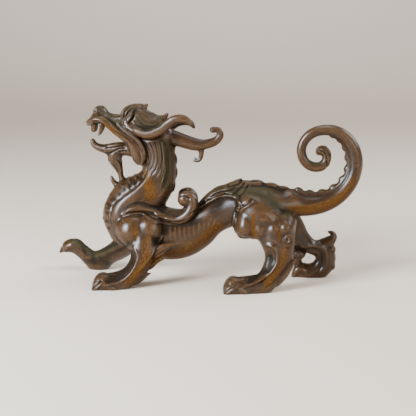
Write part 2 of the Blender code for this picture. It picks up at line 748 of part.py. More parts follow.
def thinned(mesh):
    """The mesh with no more than TRIANGLES facets, its flat ones merged first."""
    obj = bpy.data.objects.new("fine", mesh)
    bpy.context.scene.collection.objects.link(obj)
    thinning = obj.modifiers.new("facets", "DECIMATE")
    thinning.ratio = min(1.0, TRIANGLES / sum(len(p.vertices) - 2 for p in mesh.polygons))
    graph = bpy.context.evaluated_depsgraph_get()
    made = bpy.data.meshes.new_from_object(obj.evaluated_get(graph))
    bpy.data.objects.remove(obj)
    return made


def centring(mesh):
    """Moves the middle of the figure's footprint box to X = Y = 0, the soles staying on Z = 0."""
    points = np.array([v.co for v in mesh.vertices])
    middle = (points.min(axis=0) + points.max(axis=0)) / 2
    return Matrix.Translation((-middle[0], -middle[1], 0))


def bronze():
    material = bpy.data.materials.new("bronze")
    material.use_nodes = True
    shader = material.node_tree.nodes["Principled BSDF"]
    shader.inputs["Base Color"].default_value = (0.105, 0.055, 0.028, 1)
    shader.inputs["Metallic"].default_value = 0.9
    shader.inputs["Roughness"].default_value = 0.38
    return material


def dragon():
    masses = []
    body(masses)
    head(masses)
    legs(masses)
    tail(masses)
    skin = fused(masses, BODY_VOXEL, BODY_SOFTENING)
    tree = skin_tree(skin)

    carving = [skin]
    head_details(carving)
    leg_details(carving)
    carved_lines(carving, tree)
    back_mane(carving)
    breast_plates(carving)
    scale_ridge(carving)
    finished = thinned(fused(carving, CARVING_VOXEL, CARVING_SOFTENING))
    flat_soles(finished)

    obj = bpy.data.objects.new("dragon", finished)
    bpy.context.scene.collection.objects.link(obj)
    obj.data.transform(Matrix.Scale(GRID, 4) @ centring(obj.data))
    obj.data.materials.append(bronze())
    obj.data.shade_smooth()
    return obj


clear_scene()
dragon()
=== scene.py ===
"""The walking bronze dragon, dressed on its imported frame: the same cast figure at a finer grain, with the
carved locks, folds, plates and scrolls, and a dark brown waxed patina.

The figure is drawn on a grid with 235 steps from the raised paw's claws to the outer curve of the tail, so
one step is a millimetre at the real length. Head towards -X, left flank towards -Y, soles on Z = 0.
"""

import math

import bmesh
import bpy
import numpy as np
from mathutils import Matrix, Vector
from mathutils.bvhtree import BVHTree


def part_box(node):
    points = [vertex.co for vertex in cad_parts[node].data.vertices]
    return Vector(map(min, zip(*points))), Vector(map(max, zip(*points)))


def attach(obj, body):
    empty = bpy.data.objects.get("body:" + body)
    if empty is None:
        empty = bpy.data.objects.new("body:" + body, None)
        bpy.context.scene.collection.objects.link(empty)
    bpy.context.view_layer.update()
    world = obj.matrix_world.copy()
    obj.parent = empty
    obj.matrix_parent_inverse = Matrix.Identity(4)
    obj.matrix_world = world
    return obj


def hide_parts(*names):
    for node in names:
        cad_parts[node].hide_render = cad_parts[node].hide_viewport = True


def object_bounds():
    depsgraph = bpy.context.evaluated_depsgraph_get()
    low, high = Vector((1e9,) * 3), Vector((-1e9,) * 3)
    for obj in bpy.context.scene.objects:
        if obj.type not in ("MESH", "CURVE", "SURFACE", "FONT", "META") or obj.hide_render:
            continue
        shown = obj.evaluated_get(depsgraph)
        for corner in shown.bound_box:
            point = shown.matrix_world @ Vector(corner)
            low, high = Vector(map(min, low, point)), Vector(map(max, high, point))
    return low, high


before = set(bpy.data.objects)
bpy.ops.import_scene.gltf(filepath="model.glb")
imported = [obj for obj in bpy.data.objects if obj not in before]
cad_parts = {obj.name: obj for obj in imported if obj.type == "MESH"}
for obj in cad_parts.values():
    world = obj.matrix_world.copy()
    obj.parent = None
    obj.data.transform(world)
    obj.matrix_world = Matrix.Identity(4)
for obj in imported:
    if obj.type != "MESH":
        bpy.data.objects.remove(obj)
CAD_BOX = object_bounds()
SOLID = "dragon"

LENGTH = CAD_BOX[1].x - CAD_BOX[0].x  # claws of the raised paw to the outer curve of the tail
STEPS = 235.1  # the same length on the drawing grid
TRIANGLES = 190000  # facets kept on the finished skin
BODY_VOXEL = 1.0  # grid steps between points while the large masses are fused
CARVING_VOXEL = 0.55  # the same for the carved forms
BODY_SOFTENING = 11  # rounds of smoothing where limbs grow out of the body
CARVING_SOFTENING = 2

OUTSIDE = 200  # a distance from the middle that is clear of the figure
FLANK = 10  # about where the flank lies, for places that a ray from outside misses
NEAR, FAR = -1, 1  # the dragon's left side, which the photograph shows, and its right side


def spline(stations, steps):
    """Stations joined by a smooth curve, with this many steps between each two."""
    rows = np.array(stations, float)
    ends = np.vstack([2 * rows[0] - rows[1], rows, 2 * rows[-1] - rows[-2]])
    made = []
    for i in range(len(rows) - 1):
        a, b, c, d = ends[i : i + 4]
        for t in np.arange(steps) / steps:
            point = 2 * b + (c - a) * t
            point = point + (2 * a - 5 * b + 4 * c - d) * t**2 + (3 * b - a - 3 * c + d) * t**3
            made.append(0.5 * point)
    made.append(rows[-1])
    return np.array(made)


def frame_at(row, tangent):
    """Matrix that lays the unit circle across the path, its X on the width and its Y on the depth."""
    across = Vector((0, 1, 0))
    if abs(tangent.y) > 0.9:
        across = Vector((0, 0, 1))
    across = (across - tangent * across.dot(tangent)).normalized()
    depth = tangent.cross(across)
    turned = Matrix((across * row[3], depth * row[4], tangent)).transposed().to_4x4()
    return Matrix.Translation(Vector(row[:3])) @ turned


def linked(name, data):
    """A new object in the scene."""
    obj = bpy.data.objects.new(name, data)
    bpy.context.scene.collection.objects.link(obj)
    return obj


def baked(obj):
    """The object's mesh as its modifiers leave it. The object itself goes."""
    graph = bpy.context.evaluated_depsgraph_get()
    mesh = bpy.data.meshes.new_from_object(obj.evaluated_get(graph))
    bpy.data.objects.remove(obj)
    return mesh


def keep(bm, shells):
    mesh = bpy.data.meshes.new("shell")
    bm.to_mesh(mesh)
    bm.free()
    shells.append(mesh)


def limb(shells, stations, sides=20, steps=5, caps=(0.9, 0.9)):
    """A closed round form along a path. A station is x, y, z, half width and half depth.

    caps gives how far each end bulges, as a share of its depth.
    """
    rows = spline(stations, steps)
    for at_end, cap in zip((False, True), caps):
        tip, inner = (rows[-1], rows[-2]) if at_end else (rows[0], rows[1])
        away = (tip - inner)[:3] / max(np.linalg.norm((tip - inner)[:3]), 1e-9)
        bulge = []
        for share in (0.5, 0.8, 0.97):
            row = tip.copy()
            row[:3] += away * cap * share * min(tip[3], tip[4])
            row[3:] *= math.sqrt(1 - share**2)
            bulge.append(row)
        rows = np.vstack([rows, bulge]) if at_end else np.vstack([bulge[::-1], rows])
    tangents = np.gradient(rows[:, :3], axis=0)
    frames = [frame_at(r, Vector(t).normalized()) for r, t in zip(rows, tangents)]
    bm = bmesh.new()
    ring = bmesh.ops.create_circle(bm, segments=sides, radius=1.0)["verts"]
    bmesh.ops.transform(bm, matrix=frames[0], verts=ring)
    edges = bm.edges[:]
    bmesh.ops.contextual_create(bm, geom=edges)
    for before, after in zip(frames, frames[1:]):
        grown = bmesh.ops.extrude_edge_only(bm, edges=edges)["geom"]
        ring = [g for g in grown if isinstance(g, bmesh.types.BMVert)]
        edges = [g for g in grown if isinstance(g, bmesh.types.BMEdge)]
        bmesh.ops.transform(bm, matrix=after @ before.inverted(), verts=ring)
    bmesh.ops.contextual_create(bm, geom=edges)
    bmesh.ops.recalc_face_normals(bm, faces=bm.faces[:])
    keep(bm, shells)


def lump(shells, centre, radii, lean=0.0, turn=0.0):
    """A rounded mass. lean turns it about Y and turn about Z, in degrees."""
    placed = (
        Matrix.Translation(centre)
        @ Matrix.Rotation(math.radians(turn), 4, "Z")
        @ Matrix.Rotation(math.radians(lean), 4, "Y")
        @ Matrix.Diagonal((*radii, 1.0))
    )
    bm = bmesh.new()
    bmesh.ops.create_icosphere(bm, subdivisions=3, radius=1.0, matrix=placed)
    keep(bm, shells)


def on_side(rows, side):
    """Stations drawn for the near side, moved to the given side."""
    return [(x, -side * y, z, *rest) for x, y, z, *rest in rows]


def fused(shells, voxel, softening):
    """The shells as one skin, its joints softened."""
    bm = bmesh.new()
    for mesh in shells:
        bm.from_mesh(mesh)
    joined = bpy.data.meshes.new("joined")
    bm.to_mesh(joined)
    bm.free()
    obj = linked("joined", joined)
    remesh = obj.modifiers.new("fuse", "REMESH")
    remesh.mode = "VOXEL"
    remesh.voxel_size = voxel
    smooth = obj.modifiers.new("soften", "SMOOTH")
    smooth.factor = 0.5
    smooth.iterations = softening
    return baked(obj)


def skin_tree(mesh):
    joined = bmesh.new()
    joined.from_mesh(mesh)
    tree = BVHTree.FromBMesh(joined)
    joined.free()
    return tree


def flank_y(tree, x, z, side):
    """Where the skin lies across the body at this place of the side view."""
    hit = tree.ray_cast(Vector((x, side * OUTSIDE, z)), Vector((0, -side, 0)))[0]
    if hit is None:
        hit = tree.find_nearest(Vector((x, side * FLANK, z)))[0]
    return hit.y


def ridge(shells, tree, points, side, sunk=0.35, steps=6):
    """A raised line on the flank. A point is x, z and the line's half width."""
    drawn = spline(points, steps)
    rows = []
    for x, z, half in drawn:
        y = flank_y(tree, x, z, side) - side * sunk * half
        rows.append((x, y, z, half, half))
    limb(shells, rows, sides=10, steps=1)


# Tail

TAIL_CENTRE = (86.5, 101.0)
TAIL_STATIONS = [  # degrees turned, distance from the centre, half depth with scales, height of the scales
    (-123, 40.9, 11.4, 3.0), (-90, 35.6, 9.1, 3.6), (-45, 29.0, 7.1, 3.2), (0, 23.4, 6.6, 2.4),
    (45, 19.9, 5.3, 1.2), (85, 17.1, 4.4, 0.6), (125, 15.6, 4.0, 0.3), (166, 14.3, 3.8, 0.2),
    (210, 12.6, 3.8, 0.1), (256, 10.3, 3.9, 0), (290, 8.2, 3.7, 0), (318, 6.1, 3.5, 0),
    (367, 4.3, 3.5, 0), (419, 3.7, 3.4, 0), (474, 2.6, 3.1, 0), (515, 1.4, 2.7, 0),
]
TAIL = spline(TAIL_STATIONS, 8)
SCALES_TO = 70.0  # degrees turned where the scales have faded


def tail_at(degrees):
    """Distance from the centre, half depth and scale height there."""
    return [float(np.interp(degrees, TAIL[:, 0], TAIL[:, column])) for column in (1, 2, 3)]


def tail_point(degrees, inwards=0.0):
    """A place on the tail's middle line, or that much nearer the spiral's centre."""
    reach = tail_at(degrees)[0] - inwards
    angle = math.radians(degrees)
    return TAIL_CENTRE[0] + reach * math.cos(angle), TAIL_CENTRE[1] + reach * math.sin(angle)


def tail(shells):
    rows = []
    for degrees, _, depth, high in TAIL:
        half = depth - high / 2
        x, z = tail_point(degrees, inwards=-high / 2)
        rows.append((x, 0, z, half, half))
    limb(shells, rows, sides=20, steps=1)


BACK_SCALES = ((40.6, 81.2), (51.0, 79.2), (59.4, 77.0), (67.6, 74.9))
BACK_SCALE_RADII = (6.0, 2.4, 2.8)


def scale_ridge(shells):
    """Low flame-like scales on a strip along the spine and round the inner side of the tail."""
    strip = [(x, 0, z - 4.6, 3.4, 2.4) for x, z in BACK_SCALES]
    for degrees in np.arange(TAIL_STATIONS[0][0] + 6.0, SCALES_TO, 12):
        _, half, high = tail_at(degrees)
        x, z = tail_point(degrees, inwards=half - high)
        strip.append((x, 0, z, 0.55 * high + 1.3, 0.62 * high))
    limb(shells, strip, sides=14, steps=3)
    for x, z in BACK_SCALES:
        lump(shells, (x, 0, z - BACK_SCALE_RADII[2]), BACK_SCALE_RADII, lean=6)
    degrees = TAIL_STATIONS[0][0] + 5.0
    while degrees < SCALES_TO:
        reach, half, high = tail_at(degrees)
        x, z = tail_point(degrees, inwards=half - 0.9 * high)
        long = 0.7 * high + 1.8
        lump(shells, (x, 0, z), (long, 0.5 * high + 1.0, 0.95 * high), lean=-degrees - 90 + 10)
        degrees += math.degrees(1.95 * long / (reach - half))


# Body and neck

TORSO = [
    (-62, 0, 49, 12, 14), (-54, 0, 46, 16, 18), (-43, 0, 42.5, 18, 19.8), (-30, 0, 39.2, 17.5, 20.2),
    (-17, 0, 39.2, 16, 19.3), (-5, 0, 43.8, 14, 16.7), (6, 0, 51.5, 13, 13.5), (17, 0, 57, 12.5, 13),
    (28, 0, 61, 14, 15), (42, 0, 62.5, 16, 14.8), (56, 0, 62.2, 14.5, 12.6), (67, 0, 63.5, 11, 9.6),
]
NECK = [
    (-52, 0, 40, 14, 20), (-52, 0, 51, 15.5, 24), (-49, 0, 62, 14.5, 21.5), (-42, 0, 69.5, 13, 17.4),
    (-36, 0, 76, 12, 14.6), (-32.5, 0, 84, 11, 13.2), (-32.5, 0, 93, 10.5, 13),
    (-33.5, 0, 102, 10.5, 12.8), (-36, 0, 113, 10.5, 12),
]
LOINS = (45, 0, 63)
LOINS_RADII = (20, 15, 13.8)


def body(shells):
    limb(shells, TORSO, sides=28)
    limb(shells, NECK, sides=28)
    lump(shells, LOINS, LOINS_RADII)


# Head

SKULL = [
    (-29, 0, 112, 9, 9), (-36, 0, 117, 10.5, 11), (-45, 0, 121, 10.5, 11), (-53, 0, 121.5, 9.5, 8),
    (-61, 0, 121.5, 8.5, 6.4), (-68, 0, 123.3, 7.6, 5.6), (-75, 0, 125.5, 7, 5.4),
    (-80, 0, 124.8, 5, 4.2),
]
LOWER_JAW = [
    (-47, 0, 101, 7, 6), (-56, 0, 102.5, 6, 5.4), (-64, 0, 103.2, 5.2, 4.6), (-71, 0, 102.4, 4.4, 3.9),
    (-76, 0, 102.9, 3.6, 3.2), (-80.3, 0, 104.8, 2.8, 2.8), (-82.4, 0, 107.6, 2.2, 2.4),
    (-81.8, 0, 109.6, 1.7, 1.5),
]
BEARD = [
    (-65, 0, 101, 4.6, 6.5), (-65.8, 0, 95.5, 4.0, 5.6), (-63.8, 0, 90, 3.4, 4.2),
    (-61.8, 0, 85, 2.8, 2.6), (-60.9, 0, 79, 2.5, 2.1), (-60.5, 0, 74, 2.7, 2.5),
    (-59.5, 0, 68, 3.2, 3.4),
]
BEARD_HOOK = [
    (-60.5, 0, 74.6, 2.4, 2.8), (-64.8, 0, 75.6, 2.1, 2.3), (-67.4, 0, 78.2, 1.8, 1.9),
    (-68.6, 0, 81.4, 1.1, 1.1),
]
UPPER_LIP = [
    (-85, 0, 120.8, 2.0, 1.8), (-83.5, -4, 122.8, 2.2, 2.2), (-79, -7, 125.0, 2.4, 2.4),
    (-73, -8.2, 125.0, 2.6, 2.6), (-67.5, -8.8, 121.3, 2.6, 2.7), (-62.5, -9, 117, 2.6, 2.7),
    (-57, -9.3, 113, 2.6, 2.8), (-52, -9.6, 108.8, 2.8, 3.6), (-48.6, -9.8, 103.5, 2.9, 4.3),
    (-47, -9.6, 98, 2.8, 4.3), (-45.6, -9, 94, 2.2, 3.2),
]
CHEEK_FOLD = [
    (-61, -8, 121.5, 1.2, 1.3), (-54, -9.2, 116, 1.6, 1.6), (-47.5, -10, 111.5, 1.8, 1.8),
    (-43.4, -10, 105, 2.2, 2.2), (-42.2, -9.8, 98, 2.2, 2.2), (-44, -9.4, 92.6, 1.5, 1.5),
]
EAR = [
    (-55, -8.2, 121.6, 2.4, 2.6), (-47, -10.4, 117.2, 3.0, 3.3), (-38, -12, 115.2, 3.2, 3.8),
    (-30, -12.8, 118, 3.0, 3.9), (-24.5, -13.4, 122.3, 2.9, 3.5), (-19, -14, 126, 2.8, 3.4),
    (-13.5, -14.6, 127, 2.6, 3.2), (-9, -15, 125.5, 2.1, 2.5), (-6.6, -15.2, 122.4, 1.2, 1.3),
]
FAR_EAR_SHIFT = (-1.6, 0, -5.0)
HORN = [
    (-37, 0, 113, 6, 6), (-27, 0, 112.4, 5.6, 6.1), (-21, 0, 111.1, 5.1, 5.7),
    (-13, 0, 108.6, 4.5, 5.2), (-6, 0, 106.7, 3.9, 4.9), (0, 0, 106.5, 3.5, 4.0),
    (6, 0, 107.7, 3.2, 3.5), (10.6, 0, 110, 2.9, 3.1), (13, 0, 113.4, 2.6, 2.7), (12, 0, 117, 2.4, 2.4),
    (8.6, 0, 117.9, 2.2, 2.2),
]
HORN_SPUR = [
    (-1.2, 0, 104, 2.0, 2.7), (-0.8, 0, 99.4, 1.8, 1.9), (-1.8, 0, 95.8, 1.6, 1.6),
    (-4.0, 0, 94.3, 1.3, 1.3), (-6.6, 0, 94.5, 0.8, 0.8),
]
HORN_BARB = [(-4.6, 0, 94.4, 1.1, 1.1), (-5.7, 0, 96.8, 0.6, 0.6)]
CANINE = [(-74.4, -3.6, 120.5, 1.6, 1.7), (-75.4, -3.4, 116.4, 1.2, 1.3), (-77, -3.2, 112.6, 0.6, 0.6)]
FRONT_TOOTH = [(-80.6, -2.4, 121, 2.3, 2.5), (-80.9, -2.2, 116.4, 1.8, 2.1)]
SNOUT_EDGE = [
    (-72.5, -4.2, 126.4, 2.6, 2.6), (-68, -4.6, 124.9, 2.8, 2.7), (-63, -5, 125.2, 3.0, 2.8),
    (-56, -5.6, 125.4, 3.2, 3.2),
]
BROW_LOCK = [
    (-58.5, -7.6, 126, 1.2, 1.5), (-57, -7.0, 130.0, 1.8, 2.3), (-53.5, -5.2, 133.0, 1.8, 2.2),
    (-50, -3.6, 134.4, 1.7, 1.8),
]
BROW_SHIFTS = (0.0, 2.5, 4.8)  # how far behind the first each brow lock lies
UPPER_LID = [(-56, -9, 123, 1.1, 1.2), (-52.5, -9.6, 127.5, 1.6, 1.7), (-49, -8.6, 132.5, 1.2, 1.3)]
NAPE_TUFT = [
    (-34, -5.6, 121.6, 2.6, 2.2), (-30.4, -5.4, 124, 3.0, 2.6), (-28, -5, 126.6, 2.6, 1.9),
    (-26.8, -4.8, 128.0, 1.8, 1.3),
]
TOP_TUFT = [
    (-49, -3, 129.4, 2.4, 2.6), (-45.6, -3, 131.6, 2.4, 2.6), (-42.8, -2.8, 133.8, 1.8, 1.9),
    (-41, -2.6, 135.4, 0.9, 0.9),
]
CROWN = [
    (-53, -3.4, 127.4, 5.4, 7.2), (-47, -3.8, 127.0, 6.0, 7.0), (-41, -4.2, 123.8, 6.2, 6.4),
    (-35, -4.4, 122.4, 6.2, 5.4), (-30, -4.6, 123.4, 5.0, 4.4),
]
THROAT = (-44, 0, 104)
THROAT_RADII = (8, 9.2, 11.5)
NOSE = (-75.8, 0, 130)
NOSE_RADII = (5.3, 6.2, 5.0)
HORN_KNOT = (7.9, 0, 117.5)  # a lump on the curled end of the horn
HORN_KNOT_RADII = (2.7, 2.6, 2.4)
SNOUT_BRIDGE = (-64.5, 0, 125.6)
SNOUT_BRIDGE_RADII = (6.5, 5.2, 2.9)
EYE = (-53, 8.2, 124)
EYE_RADII = (2.6, 2.2, 2.4)
NOSTRIL = (-77, 5.2, 130.4)
NOSTRIL_RADII = (2.8, 1.8, 2.8)


def head(shells):
    limb(shells, SKULL, sides=24)
    limb(shells, LOWER_JAW)
    limb(shells, BEARD)
    lump(shells, THROAT, THROAT_RADII)
    lump(shells, NOSE, NOSE_RADII)
    for side in (NEAR, FAR):
        limb(shells, on_side(SNOUT_EDGE, side), sides=14)
        limb(shells, on_side(CROWN, side), sides=20)


def head_details(shells):
    limb(shells, HORN)
    lump(shells, HORN_KNOT, HORN_KNOT_RADII)
    limb(shells, HORN_SPUR, sides=12)
    limb(shells, HORN_BARB, sides=10, steps=2)
    limb(shells, BEARD_HOOK, sides=12)
    lump(shells, SNOUT_BRIDGE, SNOUT_BRIDGE_RADII)
    for side in (NEAR, FAR):
        limb(shells, on_side(UPPER_LIP, side), sides=14)
        limb(shells, on_side(CHEEK_FOLD, side), sides=10)
        shift = FAR_EAR_SHIFT if side == FAR else (0, 0, 0)
        ear = [(x + shift[0], y, z + shift[2], *rest) for x, y, z, *rest in EAR]
        limb(shells, on_side(ear, side), sides=16)
        head_tufts(shells, side)
        limb(shells, on_side(CANINE, side), sides=12)
        limb(shells, on_side(FRONT_TOOTH, side), sides=12)
        lump(shells, (EYE[0], side * EYE[1], EYE[2]), EYE_RADII)
        lump(shells, (NOSTRIL[0], side * NOSTRIL[1], NOSTRIL[2]), NOSTRIL_RADII)


def head_tufts(shells, side):
    """Brow, crown and nape tufts of one side, each a short tapering lock."""
    for shift in BROW_SHIFTS:
        brow = [(x + shift, y, z, *rest) for x, y, z, *rest in BROW_LOCK]
        limb(shells, on_side(brow, side), sides=10)
    limb(shells, on_side(UPPER_LID, side), sides=10)
    limb(shells, on_side(NAPE_TUFT, side), sides=12)
    limb(shells, on_side(TOP_TUFT, side), sides=12)


# Legs: the left pair stands, the right fore leg steps forward on its heel, the right hind leg trails

NEAR_FORE = [
    (-44, -13, 44, 10, 12), (-42, -17, 33, 9, 11), (-43, -20, 23, 8, 9.2), (-49.5, -22.5, 13.5, 7, 7.4),
    (-57.5, -24, 7.8, 6.8, 8.2), (-66, -25.5, 5.2, 6.8, 8.8), (-72.5, -26.5, 5.2, 7.2, 8.4),
]
NEAR_HIND = [
    (54, -13, 50, 11, 17), (57, -17, 38, 9.5, 12.5), (57.6, -19, 28, 8, 10.4),
    (53.5, -21, 18, 7.2, 8.2), (47.5, -22.5, 8.4, 6.9, 8.4), (38, -24, 6.0, 6.8, 8.8),
    (30, -25.5, 5.2, 7.0, 8.8), (25, -26.5, 5.6, 7.2, 8.6),
]
FAR_FORE = [
    (-48, 12, 42, 9, 11), (-58, 17, 30, 8.5, 10.5), (-68, 21.5, 20.5, 7.8, 8.6),
    (-78, 25.5, 13.8, 7.2, 7.6), (-86.5, 28, 8.0, 6.9, 9.4), (-93.5, 28.8, 11.0, 6.4, 6.6),
    (-100, 29, 16.5, 6.2, 5.8), (-106.5, 29, 20.4, 6.6, 5.8), (-111, 29, 19.8, 6.6, 5.2),
]
FAR_HIND = [
    (56, 13, 52, 10, 14), (66, 16.5, 41, 8.5, 11), (73, 19, 33, 7.4, 7.8), (81, 21, 26.4, 6.4, 5.9),
    (88, 22, 24.2, 6.2, 7.0), (92.2, 22.5, 19.4, 6.2, 7.9), (91.8, 22.8, 13, 6.2, 7.9),
    (87.2, 23, 7.4, 6.5, 7.8), (80, 23, 5.2, 6.5, 7.2), (73.6, 23.4, 5.6, 6.8, 7.8),
]
HOCK_SPUR = [
    (87.5, 22, 26.5, 4.4, 5.2), (94, 22, 29.6, 4.0, 4.8), (97.8, 22, 33.8, 3.0, 3.2),
    (97, 22, 37.0, 1.9, 2.0), (94.2, 22, 38.0, 0.9, 0.9),
]
THIGH_LOBES = (  # x and z of the lobe's foot, its half width, how far it reaches up and stands out
    (33.6, 47.0, 8.4, 17, 12.6), (44.4, 45.8, 7.8, 17, 12.9), (54, 45.6, 7.2, 13, 13.7),
    (62.4, 46.6, 7.2, 8, 13.9),
)
LEG_MASSES = (  # x, distance from the middle, z, radii and lean of the shoulder's and haunch's masses
    (-50, 13, 43.5, (13.5, 11.5, 12.5), 0),
    (-38, 13.2, 45.2, (11.5, 10.6, 11.5), 0),
    (46, 10.5, 56, (23, 13.6, 14), 36),
    (40, 11, 51.5, (16.5, 12.4, 13), 0),
)


def legs(shells):
    for stations in (NEAR_FORE, NEAR_HIND, FAR_FORE, FAR_HIND):
        limb(shells, stations, sides=24)
    for side in (NEAR, FAR):
        for x, out, z, radii, lean in LEG_MASSES:
            lump(shells, (x, side * out, z), radii, lean=lean)
        for x, z, half, rise, out in THIGH_LOBES:
            lobe = [
                (x + 1, side * (out - 3.2), z + rise, 6, half * 0.6),
                (x + 0.5, side * (out - 1.8), z + rise * 0.6, 9.8, half * 0.86),
                (x, side * (out - 0.4), z + rise * 0.2, 12, half),
                (x, side * out, z, 12, half),
            ]
            limb(shells, lobe, sides=24)


TOE_STATIONS = (  # share of the way from heel to toe, height and half width
    (0.35, 4.0, 2.6), (0.62, 9.6, 3.2), (0.86, 10.4, 3.4), (1.02, 6.4, 3.0), (1.08, 2.6, 2.3),
)


def paw(shells, heel, toe, low_side, lift, tilt):
    """Toes and claws over the front of a foot, the outermost toe on low_side the lowest."""
    start, tip = Vector(heel), Vector(toe)
    forward = (tip - start).normalized()
    up = Vector((0, 0, 1)) if not tilt else Vector((-math.sin(tilt), 0, math.cos(tilt)))
    across = up.cross(forward).normalized()
    if across.y * low_side < 0:
        across = -across
    for place, height in ((4.6, 0.62), (0.6, 1.0), (-3.8, 0.96)):
        rows = []
        for along, rise, half in TOE_STATIONS:
            spot = start + forward * along * (tip - start).length
            spot = spot + across * place + up * (rise * height + lift)
            rows.append((*spot, half, half))
        limb(shells, rows, sides=12, steps=3)


def leaf(shells, root, tip, bow, half, thick):
    """A pointed tuft that bows away from the straight line between root and tip."""
    root, tip = Vector(root), Vector(tip)
    straight = tip - root
    out = Vector((-straight.z, 0, straight.x)).normalized() * bow
    rows = []
    for along, swell in ((0, 0.55), (0.25, 1.0), (0.55, 0.85), (0.8, 0.5), (1.0, 0.16)):
        spot = root + straight * along + out * math.sin(math.pi * along)
        rows.append((*spot, max(thick * swell, 0.5), max(half * swell, 0.5)))
    limb(shells, rows, sides=12, steps=3)


def volute(shells, centre, reach, half, side, turns=1.6, start=200.0, way=1):
    """A small raised spiral on the side of a joint."""
    rows = []
    for share in np.linspace(0, 1, 26):
        angle = math.radians(start) + way * share * turns * 2 * math.pi
        out = reach * (1 - 0.86 * share)
        spot = (
            centre[0] + out * math.cos(angle),
            centre[1] + side * 1.4 * share,
            centre[2] + out * math.sin(angle),
        )
        rows.append((*spot, half, half * (1 - 0.25 * share)))
    limb(shells, rows, sides=10, steps=1)


LEG_TUFTS = (  # root, tip, bow, half width and thickness
    ((-108, 28, 18.4), (-117.6, 28, 14.4), -1.8, 3.6, 3.0),
    ((-111, 32, 18.6), (-116.4, 32, 15.4), -0.6, 2.2, 2.2),
    ((-36, -20, 22), (-18.5, -19.5, 35.5), 2.6, 4.6, 3.0),
    ((-40, -21, 16), (-26.5, -21, 24), 2.0, 3.6, 2.6),
    ((-50, -23.5, 5.5), (-36, -22, 13.5), 0.6, 3.2, 2.6),
    ((-42, 18, 24), (-26, 17, 34), 2.6, 4.4, 3.0),
    ((50, -22.4, 5.4), (70, -20.6, 27), -1.6, 4.2, 3.4),
)
PAWS = (  # heel, toe, side of the lowest toe, lift and tilt
    ((-56, -24.5, 0), (-75.5, -26.5, 0), NEAR, 0, 0),
    ((41, -24.2, 0), (21.5, -26.5, 0), NEAR, 0, 0),
    ((86, 23, 0), (70, 23.6, 0.4), FAR, -1.8, 0),
    ((-91, 29, 5.5), (-111, 29, 15.0), FAR, -0.5, -0.35),
)
HEEL_KNOBS = (24.5, 18, 11.5)  # height of each knob behind the far hind foot
HEEL_KNOB_RADII = (2.7, 3.4, 3.7)


def leg_details(shells):
    for foot in PAWS:
        paw(shells, *foot)
    limb(shells, HOCK_SPUR, sides=14)
    for tuft in LEG_TUFTS:
        leaf(shells, *tuft)
    for z in HEEL_KNOBS:
        lump(shells, (97.4, 22.4, z), HEEL_KNOB_RADII, lean=-14)
    lump(shells, (70.6, 22.4, 14.4), (4.0, 4.6, 5.0))
    volute(shells, (64.8, -25.0, 42.2), 4.9, 1.3, NEAR)
    volute(shells, (71.6, 14.6, 21.6), 4.1, 1.4, NEAR)
    lump(shells, (72, 19, 22.0), (5.6, 4.4, 5.8))


# Shoulder bands, mane and breast

SHOULDER_BAND = [
    (-58, 55.4, 1.2), (-53, 58.8, 2.1), (-46, 60.4, 2.7), (-37, 58, 2.9), (-29, 54.2, 2.8),
    (-20, 52, 2.8),
]
BAND_CURL = [
    (-25, -11.8, 52.8, 2.4, 2.6), (-17, -12.2, 52.4, 2.8, 3.0), (-10, -12.2, 56.0, 3.4, 3.8),
    (-6.2, -11.4, 62.2, 3.9, 4.2), (-6.6, -10.8, 67.0, 4.2, 4.2), (-9.4, -10.4, 69.4, 4.4, 4.2),
    (-12.2, -10.4, 68.2, 4.6, 4.6),
]
CURL_KNOT = (-12.0, 10.8, 67.4)  # the lump that the curl ends in
CURL_KNOT_RADII = (5.4, 4.8, 5.6)
FAR_CURL_SHIFT = 2.6  # how much further forward the far shoulder's curl stands
HIP_BAND = [
    (-3.5, 57.5, 1.4), (4, 63, 1.8), (12, 67.8, 2.0), (20, 70.6, 2.0), (26, 69.4, 1.8),
    (29.2, 65.4, 1.6), (28.4, 61.8, 1.4),
]
HIP_LINE = [(29.5, 59.5, 0.8), (32.4, 63.4, 0.9), (36, 66, 0.9), (39.2, 68.8, 1.0)]
THIGH_RIM = [
    (28.4, 62.4, 1.1), (25.8, 58.6, 1.1), (24.8, 53, 1.1), (24.7, 48, 1.1), (25.9, 43.9, 1.1),
    (28.6, 41.4, 1.0), (32.4, 40.4, 0.8), (36, 40.6, 0.6),
]
FORE_LEG_RIDGE = [
    (-46.4, -22.2, 28, 0.8, 0.9), (-47.6, -26, 19.5, 1.5, 1.7), (-53, -28.2, 12, 1.5, 1.7),
    (-60.5, -29.6, 8.2, 1.5, 1.7), (-68, -30.6, 7.6, 1.5, 1.7), (-72.6, -30.4, 9.6, 1.2, 1.4),
]
HIND_LEG_RIDGE = [
    (48, -18.5, 36.5, 0.8, 0.9), (52.6, -21.6, 32.5, 1.1, 1.2), (54, -23.9, 26.5, 1.3, 1.5),
    (51.4, -26.0, 19.4, 1.5, 1.7), (44.6, -28, 13.0, 1.6, 1.8), (36, -29.4, 8.6, 1.6, 1.6),
    (28.5, -30.6, 8.4, 1.6, 1.8),
]
NECK_LOCKS = (
    [(-43.2, 108.5, 0.9), (-40.2, 104.1, 1.3), (-38.2, 98.9, 1.5), (-39.2, 93.8, 1.2), (-42.6, 91, 0.7)],
    [(-39.2, 109.2, 0.9), (-36.8, 103.2, 1.2), (-35.8, 97.4, 1.3), (-37.2, 91.2, 1.2), (-41, 86.6, 0.7)],
    [(-35.6, 109.6, 0.9), (-33.8, 102.2, 1.3), (-33.4, 95.3, 1.5), (-35.4, 88.2, 1.2), (-38.6, 84.6, 0.6)],
    [(-32.2, 110, 0.9), (-30.5, 104.2, 1.2), (-30.2, 96.1, 1.4), (-32.2, 88.3, 1.2), (-35.6, 82, 0.7)],
    [(-29.6, 106, 0.7), (-28.2, 99.6, 1.0), (-28, 92, 1.2), (-29.6, 84, 1.0), (-32.2, 79, 0.6)],
)


